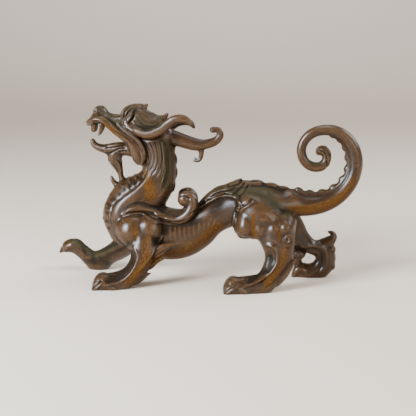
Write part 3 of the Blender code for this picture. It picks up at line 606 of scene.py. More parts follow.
def carved_lines(shells, tree):
    limb(shells, FORE_LEG_RIDGE, sides=12)
    limb(shells, HIND_LEG_RIDGE, sides=12)
    for side in (NEAR, FAR):
        ridge(shells, tree, SHOULDER_BAND, side)
        ridge(shells, tree, HIP_BAND, side, sunk=0.6)
        ridge(shells, tree, HIP_LINE, side, sunk=0.6)
        ridge(shells, tree, THIGH_RIM, side, sunk=0.5)
        for lock in NECK_LOCKS:
            ridge(shells, tree, lock, side, sunk=0.85)
        back = FAR_CURL_SHIFT if side == FAR else 0
        limb(shells, [(x - back, -side * y, z - back / 3, *rest) for x, y, z, *rest in BAND_CURL], sides=16)
        x, out, z = CURL_KNOT
        lump(shells, (x - back, side * out, z - back / 3), CURL_KNOT_RADII)


LOIN_CREST = [
    (-4, 0, 55.5, 4.0, 4.0), (2, 0, 61.0, 6.0, 5.4), (9, 0, 66.8, 7.0, 6.2), (17, 0, 70.6, 7.0, 6.2),
    (25, 0, 74.4, 6.2, 5.8), (33, 0, 76.4, 5.0, 4.2), (42, 0, 77.0, 4.0, 3.4),
]
NECK_FINS = ((-25, 104), (-23.6, 95), (-23.4, 86), (-25, 77))
FLAME_TIPS = ((17.6, 76.2, 12, 1.0), (27.8, 80.2, 9, 1.6))


def back_mane(shells):
    """Crest along the back of the neck, and the flame on the loins."""
    for x, z in NECK_FINS:
        leaf(shells, (x - 3, 0, z + 4), (x + 2.8, 0, z - 6), 1.2, 5, 3.4)
    limb(shells, LOIN_CREST, sides=16)
    for x, z, long, rise in FLAME_TIPS:
        leaf(shells, (x - long, 0, z - 6.4), (x + 1.4, 0, z + rise), 0.8, 1.8, 3.6)


PLATES_FROM = 27.0  # along the throat from the crown
PLATE_PITCH = 6.2
PLATE_RISE = 0.3


def breast_plates(shells):
    """Overlapping plates down the throat and the breast."""
    front = spline(NECK[::-1], 12)
    steps = np.linalg.norm(np.diff(front[:, (0, 2)] + front[:, 4:5] * (-1, 0), axis=0), axis=1)
    along = np.concatenate([[0], steps.cumsum()])
    for place in np.arange(PLATES_FROM, along[-1] - 6, PLATE_PITCH):
        i = min(int(np.searchsorted(along, place)), len(front) - 2)
        run = Vector((front[i + 1] - front[i])[:3]).normalized()
        out = Vector((run.z, 0, -run.x))
        wide, deep = front[i][3:]
        spot = Vector(front[i][:3]) + out * deep * 0.45
        lean = math.degrees(math.atan2(out.x, out.z))
        lump(shells, spot, (PLATE_PITCH * 0.6, wide * 0.78, deep * 0.55 + PLATE_RISE), lean=lean)


# Relief on the finished skin

DEEPEST, HIGHEST = -1.8, 1.6  # grid steps that the relief may sink or rise
PLATE_MARK_PITCH = 5.2  # along the border of the breast plates
FINE_HOLLOW = 0.00012  # metres of depth that count as a full fine hollow
BROAD_HOLLOW = 0.0011
SHELTER_RAYS = 20
SHELTER_START = 0.0015  # metres off the skin where a ray sets out
SHELTER_REACH = 0.03
SHELTER_GRAZE = 0.15  # rays that leave the skin flatter than this are left out


def path_distance(places, path):
    """How far each place lies from a path in the side view, and how far along it, from 0 to 1."""
    starts, runs = path[:-1], np.diff(path, axis=0)
    long = np.linalg.norm(runs, axis=1)
    gone = np.concatenate([[0], long.cumsum()])
    away = places[:, None, :] - starts[None]
    share = np.clip((away * runs).sum(axis=2) / np.maximum(long, 1e-9) ** 2, 0, 1)
    off = np.linalg.norm(away - share[..., None] * runs, axis=2)
    nearest = off.argmin(axis=1)
    rows = np.arange(len(places))
    along = (gone[nearest] + share[rows, nearest] * long[nearest]) / gone[-1]
    return off[rows, nearest], along


class Relief:
    """Raised and sunken lines, drawn on the side view and laid on one flank of the fine skin."""

    def __init__(self, mesh):
        self.mesh = mesh
        self.points = read_vectors(mesh.vertices, "co")
        self.normals = read_vectors(mesh.vertex_normals, "vector")
        self.rise = np.zeros(len(self.points))

    def line(self, points, half, high, side, inner=0.0, outer=60.0, fade=0.12):
        """A line this high, or sunk where high is below 0. inner and outer bound it across the body."""
        path = spline([(p[0], p[1]) for p in points], 5)
        reach = 3 * half
        across = side * self.points[:, 1]
        flat = self.points[:, (0, 2)]
        near = np.all((flat > path.min(axis=0) - reach) & (flat < path.max(axis=0) + reach), axis=1)
        near &= (across > inner) & (across < outer) & (side * self.normals[:, 1] > -0.25)
        index = np.flatnonzero(near)
        if not len(index):
            return
        off, along = path_distance(flat[index], path)
        ends = np.clip(np.minimum(along, 1 - along) / fade, 0, 1) ** 0.5
        facing = np.clip(0.45 + 1.4 * side * self.normals[index, 1], 0, 1)
        self.rise[index] += high * np.exp(-((off / half) ** 2)) * ends * facing

    def both(self, points, half, high, inner, fade=0.12):
        for side in (NEAR, FAR):
            self.line(points, half, high, side, inner=inner, fade=fade)

    def carve(self):
        rise = np.clip(self.rise, DEEPEST, HIGHEST)
        write_vectors(self.mesh.vertices, "co", self.points + self.normals * rise[:, None])
        self.mesh.update()


def read_vectors(items, name):
    values = np.zeros(len(items) * 3, np.float32)
    items.foreach_get(name, values)
    return values.reshape(-1, 3).astype(float)


def write_vectors(items, name, values):
    items.foreach_set(name, np.asarray(values, np.float32).ravel())


LIP_CREST = [
    (-82.3, 124.5), (-76.5, 125), (-73.7, 124.3), (-70.9, 122.5), (-69.1, 119.9), (-66, 116.7),
    (-62.5, 113.7), (-59, 111.4), (-55.5, 107.4),
]
LIP_TOP = [
    (-70.8, 125.5), (-68, 123), (-65.3, 119.5), (-62.5, 117), (-57.8, 114.5), (-53.1, 111.5),
    (-49.2, 108),
]
LIP_GROOVE = [(-80.1, 123.6), (-76.1, 123.6), (-72.8, 121.8), (-71, 119.4), (-68.2, 116.4), (-63, 112.4)]
LIP_EDGE = [
    (-82.8, 121.1), (-79.7, 122.3), (-76.4, 121.6), (-72.6, 119.3), (-69.8, 116.5), (-66.3, 113.8),
    (-62.8, 111),
]
NOSTRIL_LINE = [(-78.8, 127), (-80, 129.8), (-78.7, 132.2), (-77, 132.6), (-77.1, 130.8), (-78.3, 128.9)]
BROWS = (
    [(-57.7, 127.2), (-57, 131.9), (-54.1, 135.6)],
    [(-55.9, 127.5), (-54.6, 131.2), (-51, 134.7)],
    [(-54.5, 126.2), (-52.1, 129.5), (-48.8, 133.2)],
)
EYELID = [(-54.6, 123.3), (-52.2, 126.3), (-49.8, 130.5)]
UNDER_EYE = [(-50.5, 124.7), (-48.1, 122)]
EAR_ROOT = [(-55.6, 120.4), (-52.3, 118.9), (-48.9, 116.8)]
CROWN_SCOOP = [(-46, 127), (-41.5, 124.6), (-36, 123.2), (-30.5, 123.6)]
CROWN_HAIRS = (
    [(-48, 129.5), (-45.3, 124.8), (-41.2, 121.4), (-35.6, 120.4), (-31.5, 120.8)],
    [(-45.8, 130.2), (-42.7, 126.4), (-38.5, 124), (-33.7, 123.4), (-29.8, 124.1)],
    [(-43.5, 130.8), (-40, 128.1), (-35.9, 126.4), (-31, 126.4)],
)
EAR_LOWER_EDGE = [
    (-51.3, 117.3), (-47.9, 114.3), (-42.7, 111.2), (-36.8, 110.9), (-30.5, 112.6), (-25.3, 115.6),
    (-20.1, 120), (-14.9, 122.9), (-9.8, 123.6),
]
JAW_FOLDS = (
    [(-72.3, 103.8), (-66.6, 104.5), (-60.8, 105.7), (-56.8, 106)],
    [(-68.7, 99.3), (-65.2, 101.4), (-60.8, 103.4), (-56.3, 103.8)],
    [(-62, 100.8), (-58, 101.8), (-55.2, 101.5)],
)
BEARD_STRANDS = (
    [(-72.5, 99.8), (-70.4, 95), (-67.6, 91.9), (-64.4, 89), (-62.4, 84.2)],
    [(-66.5, 95.5), (-62.8, 94.1), (-60.8, 91.3), (-60, 87.8), (-59.8, 82.4), (-59.6, 76.6)],
    [(-60.6, 98), (-59.5, 93.4), (-58.4, 90), (-58.3, 83.7), (-58.4, 76.4)],
)
JAW_ANGLE = [(-55.6, 110.4), (-53.9, 106.8), (-52.9, 102), (-51.8, 99.2), (-49, 95.8), (-46.2, 93.3)]
CHEEK_CURL = [
    (-47.8, 109.1), (-46.2, 105.7), (-44, 102.4), (-42.9, 99), (-43, 95.1), (-43.7, 92.6),
    (-40.9, 92.7), (-39.4, 95), (-39.7, 98.1),
]
NECK_BACK_EDGE = [(-29.4, 109.6), (-27.4, 103.3), (-26.6, 95.9), (-26.6, 88.5), (-28.2, 81), (-30.3, 74.5)]
NECK_BAND = [(-37.9, 87.1), (-40.4, 81.1), (-45.3, 74.9), (-50.2, 70), (-58, 64.5), (-62.5, 58), (-64, 50)]
PLATE_BORDER = [
    (-39.4, 92.5), (-40.6, 86.6), (-42.6, 81.7), (-46.4, 77), (-51.5, 73), (-56.1, 69.7), (-60.2, 66.5),
    (-63.1, 64.1), (-65.5, 61.2), (-66.7, 57.4), (-67.4, 53.3), (-67.4, 50.4), (-66.4, 45.8),
]
BAND_UPPER = [
    (-57.1, 56.1), (-53.7, 59), (-49.9, 60.8), (-45.1, 61.2), (-39.4, 59.9), (-33.8, 57.4),
    (-29.9, 54.3), (-22.8, 52.3), (-17.1, 52), (-12.2, 53.2), (-6.9, 56.6), (-4.1, 60.9),
]
BAND_GROOVE = [
    (-55.4, 57), (-50.8, 57.6), (-45.1, 58), (-39.5, 56.7), (-33.8, 54.9), (-29.1, 53), (-22, 51.2),
    (-15, 51.6), (-10, 54),
]
BAND_LOWER = [
    (-57.7, 55.5), (-52.3, 56.5), (-46.6, 57.2), (-40.9, 56.1), (-35.3, 53.4), (-29.7, 50.9),
    (-23.4, 49.2), (-16.4, 49.6), (-9.6, 52.2), (-4.8, 56.6),
]
BAND_ABOVE = [
    (-60.3, 48.6), (-59.7, 52.6), (-57.9, 56.1), (-55.3, 60.2), (-51.5, 63.1), (-46.6, 64.7),
    (-42.4, 64.5), (-36.7, 62.3), (-29.2, 59),
]
CURL_LINE = [(-16.8, 69.6), (-13.6, 71.0), (-10, 70.4), (-7.4, 68)]
SHOULDER_FOLD = [(-47, 54), (-47.8, 49), (-47.6, 43), (-46.6, 36)]
RIB_PITCH = 3.5
RIBS = (
    [(-22, 49), (-22.4, 43.5), (-21.7, 36.3)],
    [(-15.5, 48), (-15.2, 42), (-14, 37.5)],
    [(-8.6, 48.5), (-8.2, 43), (-7, 38.6)],
    [(-0.8, 51), (-1, 46), (-2.6, 41.5)],
    [(7.5, 54), (6.6, 49.5), (4, 45)],
)
MANE_EDGE = [(-8, 57.4), (-4.2, 59), (-0.3, 60.2), (5, 63.1), (10.9, 65.8), (17, 68.4)]
HIP_UPPER = [(3.5, 67), (7.8, 68.5), (11.6, 70), (17.6, 72.4), (24.6, 72.7)]
HIP_LOWER = [(3.6, 64), (7.2, 66.2), (10.7, 68.4), (15.9, 69.9), (20.1, 70.4), (23.6, 70.1), (26, 68.4)]
HIP_VOLUTE = [(27, 67.9), (29.8, 66.2), (30.5, 64.1), (29.6, 61.6), (28.1, 60.8), (26.7, 61.9), (27.2, 63.8)]
HIP_SCROLL = [(29.5, 59.3), (31.9, 62.9), (35.4, 65.4), (39.2, 68.8)]
THIGH_EDGE = [(25, 59.2), (24.7, 53.9), (24.5, 48.5), (25.4, 43.9), (28.6, 40.4), (31.4, 39)]
THIGH_FOLD = [(28, 60.3), (26.9, 56.8), (26.6, 49.7), (27.6, 44.8), (30.6, 41.9), (36, 41)]
THIGH_ARC = [(39.3, 58.9), (44.4, 61.1), (49.6, 59.1), (53.1, 54.3)]
RUMP_GROOVE = [(48.2, 71.8), (52.6, 67), (58.4, 62), (66, 59.2)]
TAIL_RIDGE = [
    (63.9, 63.8), (72.4, 63.8), (82.7, 64.7), (92, 67.3), (101.2, 72.2), (108.5, 78.1), (112.9, 84.8),
    (114.4, 90.5), (113.9, 98), (111.4, 105.5), (107.5, 111.1), (101.9, 115.6), (95.4, 118.4),
    (88.9, 119.2), (81.5, 118.6), (75.1, 114.4),
]
TAIL_KNOB_LINES = (
    [(91.5, 90), (91.3, 95.7), (90.3, 100.4), (87.4, 103.6), (84.6, 104), (84.2, 102.1), (86.1, 100.8)],
    [(93.6, 99.5), (91.6, 104.1), (88.3, 106), (85.1, 105.5)],
)
CREST_FLAMES = (
    [(3.6, 65.6), (8.6, 70), (14.6, 72.6), (20.4, 73.6), (25.6, 76.6)],
    [(18.6, 76.4), (23, 77.2), (27.2, 78.6), (29.4, 81)],
    [(21.6, 70.2), (26.4, 73.4), (30, 77.2), (31.8, 79.4)],
    [(27.8, 69.8), (32, 74.4), (34.8, 78.2)],
)
NEAR_FORE_EDGE = [
    (-48.5, 33.6), (-45.4, 30), (-44.8, 24.9), (-48.1, 17.3), (-53.2, 11.4), (-60, 7.6), (-66.3, 6.8),
    (-70.1, 8),
]
NEAR_FORE_HOLLOW = [(-51.4, 31), (-49.6, 25), (-52.2, 19), (-57, 13.6), (-62.6, 10.6), (-68, 10.6)]
NEAR_FORE_REAR = [(-27.2, 42.1), (-31, 35.2), (-34.5, 28.8), (-37.5, 23.7), (-43, 17)]
NEAR_HIND_EDGE = [
    (47.8, 38), (53.4, 36.9), (56.5, 33.2), (57, 26.8), (54.2, 20.3), (48.7, 15), (41.2, 10.6),
    (31.3, 7.4),
]
NEAR_HIND_HOLLOW = [(50.4, 33.4), (52, 28), (50.8, 22.5), (46.6, 17.6), (40.6, 13.8), (33.6, 11.6)]
KNEE_FOLD = [(50, 40.6), (56, 39.2), (60, 34.2), (60.6, 27)]
NEAR_TOE_EDGES = (
    [(-69.5, 8.4), (-73.5, 5.2), (-76.8, 1.8)],
    [(29.6, 8), (25, 5.4), (21.6, 2)],
)
FAR_FORE_RIDGE = [
    (-58, 29.6), (-68.8, 23.4), (-78.8, 17.9), (-86.9, 14.8), (-94, 13), (-99, 15.6), (-103, 18.4),
    (-108, 22.6),
]
FAR_HIND_RIDGE = [
    (70, 33), (75.8, 27.2), (82.3, 28.2), (88.9, 27.2), (92.2, 24), (92.8, 18), (91.6, 11), (87, 6),
]
FAR_INNER_FACE = {"inner": -40, "outer": -9}  # the far legs' flank that faces the near side
LEAF_LINES = (
    [(-35, 24.6), (-29, 29), (-23, 32.4), (-19.6, 34.6)],
    [(-36, 21), (-30, 25.4), (-24.4, 28.6), (-21, 31.4)],
    [(-40.5, 15.4), (-34, 19.4), (-27.6, 23.2)],
    [(-49, 4.6), (-43, 8), (-37, 12.4)],
    [(48.6, 6.6), (55.4, 11.4), (61.4, 18.4), (66, 26)],
)


def shifted(path, right, up):
    return [(x + right, z + up) for x, z in path]


def head_relief(both):
    both(LIP_CREST, 1.0, 0.55, 3)
    both(LIP_TOP, 0.8, -0.6, 3)
    both(LIP_GROOVE, 0.7, -0.9, 2)
    both(LIP_EDGE, 0.7, 0.5, 2)
    both(NOSTRIL_LINE, 0.6, 0.8, 1.5)
    both([(-78.6, 130.2), (-78.2, 131)], 0.9, -1.0, 1.5, fade=0.01)
    for brow in BROWS:
        both(brow, 0.8, 0.6, 0.5)
        both(shifted(brow, 1.1, -0.6), 0.45, -0.6, 0.5)
    both(EYELID, 0.8, 0.7, 3)
    both(shifted(EYELID, 1.3, -0.9), 0.5, -1.0, 3)
    both(shifted(EYELID, -1.3, 0.4), 0.4, -0.5, 3)
    both(UNDER_EYE, 0.7, 0.5, 3)
    both(EAR_ROOT, 0.9, 0.6, 3)
    both(CROWN_SCOOP, 2.6, -0.6, 1, fade=0.3)
    for hairs in CROWN_HAIRS:
        both(hairs, 0.5, -0.28, 1, fade=0.3)
    both(EAR_LOWER_EDGE, 0.8, -0.4, 5)
    for fold in JAW_FOLDS:
        both(fold, 0.7, -0.6, 1)
    for strand in BEARD_STRANDS:
        both(strand, 0.55, -0.5, 0.3)
        both(shifted(strand, -1.2, 0), 0.7, 0.4, 0.3)
    both(JAW_ANGLE, 0.7, -0.7, 4)
    both(CHEEK_CURL, 0.7, 0.7, 5)


def neck_relief(both):
    for lock in NECK_LOCKS:
        both([(x + 1.6, z) for x, z, _ in lock], 0.5, -0.4, 1)
        both([(x - 0.2, z) for x, z, _ in lock], 0.35, -0.3, 1, fade=0.3)
    both(NECK_BACK_EDGE, 0.8, 0.6, 2, fade=0.3)
    both(shifted(NECK_BACK_EDGE, 3, 0), 2.0, -0.7, 1, fade=0.2)
    both(NECK_BAND, 3.4, 0.8, 4)
    both(PLATE_BORDER, 0.8, -0.6, 4)
    border = spline(PLATE_BORDER, 8)
    steps = np.linalg.norm(np.diff(border, axis=0), axis=1).cumsum()
    for gone in np.arange(PLATE_MARK_PITCH, steps[-1], PLATE_MARK_PITCH):
        i = int(np.searchsorted(steps, gone))
        run = (border[i + 1] - border[i]) / max(np.linalg.norm(border[i + 1] - border[i]), 1e-9)
        out = np.array((run[1], -run[0]))
        start = border[i]
        knob = [tuple(start + out * 1.8 + run * along) for along in (-0.9, 0.9)]
        both(knob, 2.2, 0.1, 0, fade=0.01)
        mark = [tuple(start + out * reach + run * PLATE_MARK_PITCH / 2) for reach in (0.6, 3.0, 6.0)]
        both(mark, 0.9, -0.14, 0, fade=0.3)


def trunk_relief(both):
    both(BAND_UPPER, 0.9, 0.4, 5)
    both(BAND_GROOVE, 0.5, -0.8, 5)
    both(BAND_LOWER, 0.6, 0.6, 5)
    both(BAND_ABOVE, 0.8, -0.4, 5)
    both(CURL_LINE, 0.6, -0.8, 5)
    both(SHOULDER_FOLD, 2.6, -0.6, 8, fade=0.3)
    for rib in RIBS:
        for shift in (0, RIB_PITCH):
            both(shifted(rib, shift, 0), 0.9, 0.22, 4, fade=0.4)
    both(MANE_EDGE, 0.8, -0.8, 4)
    both(HIP_UPPER, 0.8, 0.6, 3)
    both([((a + c) / 2, (b + d) / 2) for (a, b), (c, d) in zip(HIP_UPPER, HIP_LOWER)], 0.6, -0.8, 3)
    both(HIP_LOWER, 0.8, 0.6, 3)
    both(HIP_VOLUTE, 0.7, 0.7, 6)
    both([(28.2, 64.2), (28.3, 63.6)], 0.9, -0.7, 6, fade=0.01)
    both(HIP_SCROLL, 0.8, 0.7, 6)
    both([(38.6, 68.2), (39.6, 69.2)], 1.2, 0.8, 6, fade=0.01)
    both(shifted(HIP_SCROLL, -1, 1.9), 0.7, -0.5, 6)
    both(THIGH_EDGE, 1.3, 0.35, 6)
    both(THIGH_FOLD, 0.7, -0.7, 6)
    both(THIGH_ARC, 1.6, 0.25, 8, fade=0.4)
    both(RUMP_GROOVE, 2.4, -0.8, 2, fade=0.4)
    both(TAIL_RIDGE, 1.2, 0.45, 0)
    for line in TAIL_KNOB_LINES:
        both(line, 0.6, -0.9, 0, fade=0.05)
    for flame in CREST_FLAMES:
        both(flame, 0.7, -0.7, 0)


def leg_relief(line):
    for edge, hollow in ((NEAR_FORE_EDGE, NEAR_FORE_HOLLOW), (NEAR_HIND_EDGE, NEAR_HIND_HOLLOW)):
        line(edge, 0.9, 1.0, NEAR, inner=12)
        line(hollow, 2.8, -0.9, NEAR, inner=12)
    line(KNEE_FOLD, 0.8, -0.35, NEAR, inner=12, fade=0.4)
    line(NEAR_FORE_REAR, 1.0, 1.0, NEAR, inner=10)
    for edge in NEAR_TOE_EDGES:
        line(edge, 0.6, 0.6, NEAR, inner=12)
        line(shifted(edge, -1.2, 1.6), 0.6, -0.7, NEAR, inner=12)
    line(FAR_FORE_RIDGE, 2.0, 0.6, NEAR, **FAR_INNER_FACE)
    line(shifted(FAR_FORE_RIDGE, 0, 3.4), 2.0, -0.5, NEAR, **FAR_INNER_FACE)
    line(FAR_HIND_RIDGE, 1.4, 0.8, NEAR, **FAR_INNER_FACE)
    line(shifted(FAR_HIND_RIDGE, -3.6, -2.4), 1.6, -0.7, NEAR, **FAR_INNER_FACE)
    for vein in LEAF_LINES:
        line(vein, 0.6, -0.45, NEAR, inner=12)


# Finished skin

OLIVE_PLACES = (  # a line on the side view, and how far the green patina reaches from it
    ([(-27, 108), (-25, 98), (-25, 88), (-26, 78)], 6),
    ([(-50, 131), (-43, 125), (-35, 121), (-29, 123)], 5),
    ([(-68, 125.5), (-60, 123.5)], 4),
    ([(-80, 133), (-76, 131)], 5),
    ([(2, 70), (10, 77), (20, 82), (30, 86), (42, 84)], 4),
    ([(45, 82), (60, 80), (73, 77)], 3),
    ([(22, 74), (34, 74), (45, 73), (52, 68), (58, 63), (66, 60)], 5.5),
    ([(-66, 27), (-76, 19), (-88, 15), (-98, 21), (-107, 27)], 4),
    ([tail_point(degrees, inwards=tail_at(degrees)[1]) for degrees in (-120, -90, -45, 0, 45, 70)], 2.2),
    ([tail_point(degrees, inwards=3) for degrees in (225, 250, 280)], 2),
)
SHADE_AND_GRIME_PLACES = (  # the same for painted shade, which darkens places that lie in shadow and dulls highlights, with some real dark grime on the crest
    ([(-58, 34), (-72, 20), (-90, 6)], 9),
    ([(-26, 45), (-14, 48), (0, 52)], 4.5),
    ([(-45, 82), (-57, 73.5), (-66.5, 65), (-71.5, 54), (-70, 42)], 3.6),
    ([(2, 60), (14, 72), (28, 79), (44, 80), (60, 76)], 4),
    ([(-54, 66), (-42, 66), (-28, 60)], 3),
    ([(-28, 34), (-33, 40), (-31, 50)], 3),
    ([(-51, 31), (-49.6, 25), (-52, 19), (-57, 13.6), (-64, 11.4)], 3.2),
    ([(52, 28), (50.8, 22.5), (46.6, 17.6), (38, 13)], 3),
    ([(-44, 110.6), (-39, 109), (-30, 110)], 4),
    ([(6, 59), (14, 64), (20, 67), (26, 69)], 5.5),
    ([(-76, 101), (-68, 101), (-62, 103), (-55, 104)], 4.5),
    ([(-42, 119), (-32, 121), (-24, 124)], 3),
    ([(27, 62), (24.8, 54), (25, 46), (29, 40)], 2),
)
WARM_BROWN_AND_REFLECTION_PLACES = (  # the same for warm brown, partly the bronze's own tone and partly a painted reflection of a warm floor under the figure
    ([(-34, 23), (-18, 25), (0, 36), (12, 46)], 6),
    ([(-46.5, 53), (-46.5, 38)], 2.4),
    ([(39, 60), (39.4, 41)], 2.4),
    ([(58.4, 56), (58.4, 43)], 2.2),
    ([(50, 64), (60, 56)], 3.6),
    ([(66, 62), (84, 62), (98, 68), (110, 82)], 5),
    ([(-37, 40), (-39, 24), (-50, 9)], 4),
    ([(-41, 84), (-37, 70)], 5),
    ([(50, 10), (60, 24), (62, 34)], 4),
    ([(-70, 122), (-60, 112)], 3),
)


def place_weights(mesh, places):
    """How much each point of the drawing lies in these places, from 0 to 1."""
    flat = read_vectors(mesh.vertices, "co")[:, (0, 2)]
    amount = np.zeros(len(flat))
    for path, reach in places:
        off = path_distance(flat, spline(path, 4))[0]
        amount = np.maximum(amount, np.exp(-((off / reach) ** 2)))
    return amount


def store(mesh, name, values):
    layer = mesh.attributes.new(name, "FLOAT", "POINT")
    layer.data.foreach_set("value", values.astype(np.float32))


def flat_soles(mesh):
    """Cuts everything under Z = 0 and closes the cut, so that the feet stand flat."""
    bm = bmesh.new()
    bm.from_mesh(mesh)
    geometry = bm.verts[:] + bm.edges[:] + bm.faces[:]
    bmesh.ops.bisect_plane(bm, geom=geometry, plane_co=(0, 0, 0), plane_no=(0, 0, 1), clear_inner=True)
    bmesh.ops.holes_fill(bm, edges=[e for e in bm.edges if e.is_boundary], sides=0)
    bmesh.ops.triangulate(bm, faces=[f for f in bm.faces if len(f.verts) > 4])
    bm.to_mesh(mesh)
    bm.free()


def thinned(mesh):
    """The mesh with no more than TRIANGLES facets, its flat ones merged first."""
    obj = linked("fine", mesh)
    thinning = obj.modifiers.new("facets", "DECIMATE")
    thinning.ratio = min(1.0, TRIANGLES / sum(len(p.vertices) - 2 for p in mesh.polygons))
    return baked(obj)


def placed_on_solid(mesh):
    """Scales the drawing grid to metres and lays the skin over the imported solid."""
    low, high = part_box(SOLID)
    points = read_vectors(mesh.vertices, "co")
    middle = (points.min(axis=0) + points.max(axis=0)) / 2
    grid = LENGTH / STEPS
    shift = Matrix.Translation(((low.x + high.x) / 2, (low.y + high.y) / 2, low.z))
    mesh.transform(shift @ Matrix.Scale(grid, 4) @ Matrix.Translation((-middle[0], -middle[1], 0)))


def spread(values, ends, count, rounds):
    """Values on the points, evened out over their neighbours this many times."""
    degree = np.maximum(np.bincount(ends.ravel(), minlength=count), 1)
    for _ in range(rounds):
        total = np.bincount(ends[:, 0], values[ends[:, 1]], count)
        total += np.bincount(ends[:, 1], values[ends[:, 0]], count)
        values = 0.5 * values + 0.5 * total / degree
    return values


def hollowness(points, normals, ends, rounds):
    """How far each point lies under the mean of its surroundings, in metres: above 0 in hollows."""
    mean = np.stack([spread(points[:, axis], ends, len(points), rounds) for axis in range(3)], axis=1)
    return ((mean - points) * normals).sum(axis=1)


def shelter(points, normals, solid):
    """Share of the outward directions in which the figure itself is close by, from 0 to 1."""
    tree = skin_tree(solid)
    turns = np.arange(SHELTER_RAYS) * math.pi * (3 - math.sqrt(5))
    heights = 1 - 2 * (np.arange(SHELTER_RAYS) + 0.5) / SHELTER_RAYS
    flat = np.sqrt(1 - heights**2)
    directions = np.stack([flat * np.cos(turns), flat * np.sin(turns), heights], axis=1)
    found = np.zeros(len(points))
    starts = points + normals * SHELTER_START
    for direction in directions:
        outwards = normals @ direction
        ray = Vector(direction)
        for i in np.flatnonzero(outwards > SHELTER_GRAZE):
            if tree.ray_cast(Vector(starts[i]), ray, SHELTER_REACH)[0] is not None:
                found[i] += outwards[i]
    return found / (SHELTER_RAYS / 4)


def write_hollows_and_shelter(mesh, solid):
    """Stores on the skin what the patina and the painted shade read: fine hollows, broad hollows and shelter.
    """
    points = read_vectors(mesh.vertices, "co")
    normals = read_vectors(mesh.vertex_normals, "vector")
    ends = np.zeros(len(mesh.edges) * 2, np.int32)
    mesh.edges.foreach_get("vertices", ends)
    ends = ends.reshape(-1, 2)
    store(mesh, "fine_hollow", hollowness(points, normals, ends, 6) / FINE_HOLLOW)
    store(mesh, "broad_hollow", hollowness(points, normals, ends, 60) / BROAD_HOLLOW)
    sheltered = shelter(points, normals, solid)
    store(mesh, "shelter", spread(sheltered, ends, len(points), 4))


def skin():
    masses = []
    for draw in (body, head, legs, tail):
        draw(masses)
    blocked = fused(masses, BODY_VOXEL, BODY_SOFTENING)
    tree = skin_tree(blocked)

    carving = [blocked]
    head_details(carving)
    leg_details(carving)
    carved_lines(carving, tree)
    for draw in (back_mane, breast_plates, scale_ridge):
        draw(carving)
    carved = fused(carving, CARVING_VOXEL, CARVING_SOFTENING)

    relief = Relief(carved)
    for draw in (head_relief, neck_relief, trunk_relief):
        draw(relief.both)
    leg_relief(relief.line)
    relief.carve()
    finished = thinned(carved)
    flat_soles(finished)
    # Stores the olive patina, the warm brown that is partly a painted reflection of a warm floor, and the
    # painted shade with some grime.
    for name, places in (("olive", OLIVE_PLACES), ("amber_and_reflection_map", WARM_BROWN_AND_REFLECTION_PLACES), ("shade_and_grime", SHADE_AND_GRIME_PLACES)):
        store(finished, name, place_weights(finished, places))
    placed_on_solid(finished)
    return finished


# Bronze


class Value:
    """A shader socket that joins sums and products, so that the patina's maths reads as formulas."""

    def __init__(self, tree, socket):
        self.tree = tree
        self.socket = socket

    def node(self, kind, inputs=(), output=0, **settings):
        """Any other node of the same tree, with values or sockets on its inputs."""
        made = self.tree.nodes.new(kind)
        for name, value in settings.items():
            setattr(made, name, value)
        for name, value in dict(inputs).items():
            if isinstance(value, Value):
                self.tree.links.new(value.socket, made.inputs[name])
            else:
                made.inputs[name].default_value = value
        return Value(self.tree, made.outputs[output])

    def maths(self, operation, other, swap=False):
        values = [other, self] if swap else [self, other]
        return self.node("ShaderNodeMath", dict(enumerate(values)), operation=operation)

    def __add__(self, other):
        return self.maths("ADD", other)

    def __radd__(self, other):
        return self.maths("ADD", other, swap=True)

    def __sub__(self, other):
        return self.maths("SUBTRACT", other)

    def __rsub__(self, other):
        return self.maths("SUBTRACT", other, swap=True)

    def __mul__(self, other):
        return self.maths("MULTIPLY", other)

    def __rmul__(self, other):
        return self.maths("MULTIPLY", other, swap=True)

    def __truediv__(self, other):
        return self.maths("DIVIDE", other)

    def __rtruediv__(self, other):
        return self.maths("DIVIDE", other, swap=True)

    def step(self, low, high):
        """0 below low, 1 above high, a smooth slope between."""
        ends = {"Value": self, "From Min": low, "From Max": high}
        return self.node("ShaderNodeMapRange", ends, interpolation_type="SMOOTHSTEP")

    def tint(self, lower, upper):
        """The colour lower where this value is 0, and upper where it is 1."""
        mix = self.tree.nodes.new("ShaderNodeMix")
        mix.data_type = "RGBA"
        self.tree.links.new(self.socket, mix.inputs[0])
        for slot, colour in ((6, lower), (7, upper)):
            if isinstance(colour, Value):
                self.tree.links.new(colour.socket, mix.inputs[slot])
            else:
                mix.inputs[slot].default_value = (*colour, 1)
        return Value(self.tree, mix.outputs[2])


DEEP_BROWN_AND_SHADE = (0.0085, 0.0046, 0.0011)
BROWN = (0.0265, 0.0104, 0.0013)
RUBBED = (0.072, 0.029, 0.0042)
AMBER_AND_REFLECTION = (0.090, 0.034, 0.0016)
OLIVE_AND_TOP_REFLECTION = (0.027, 0.0225, 0.0072)
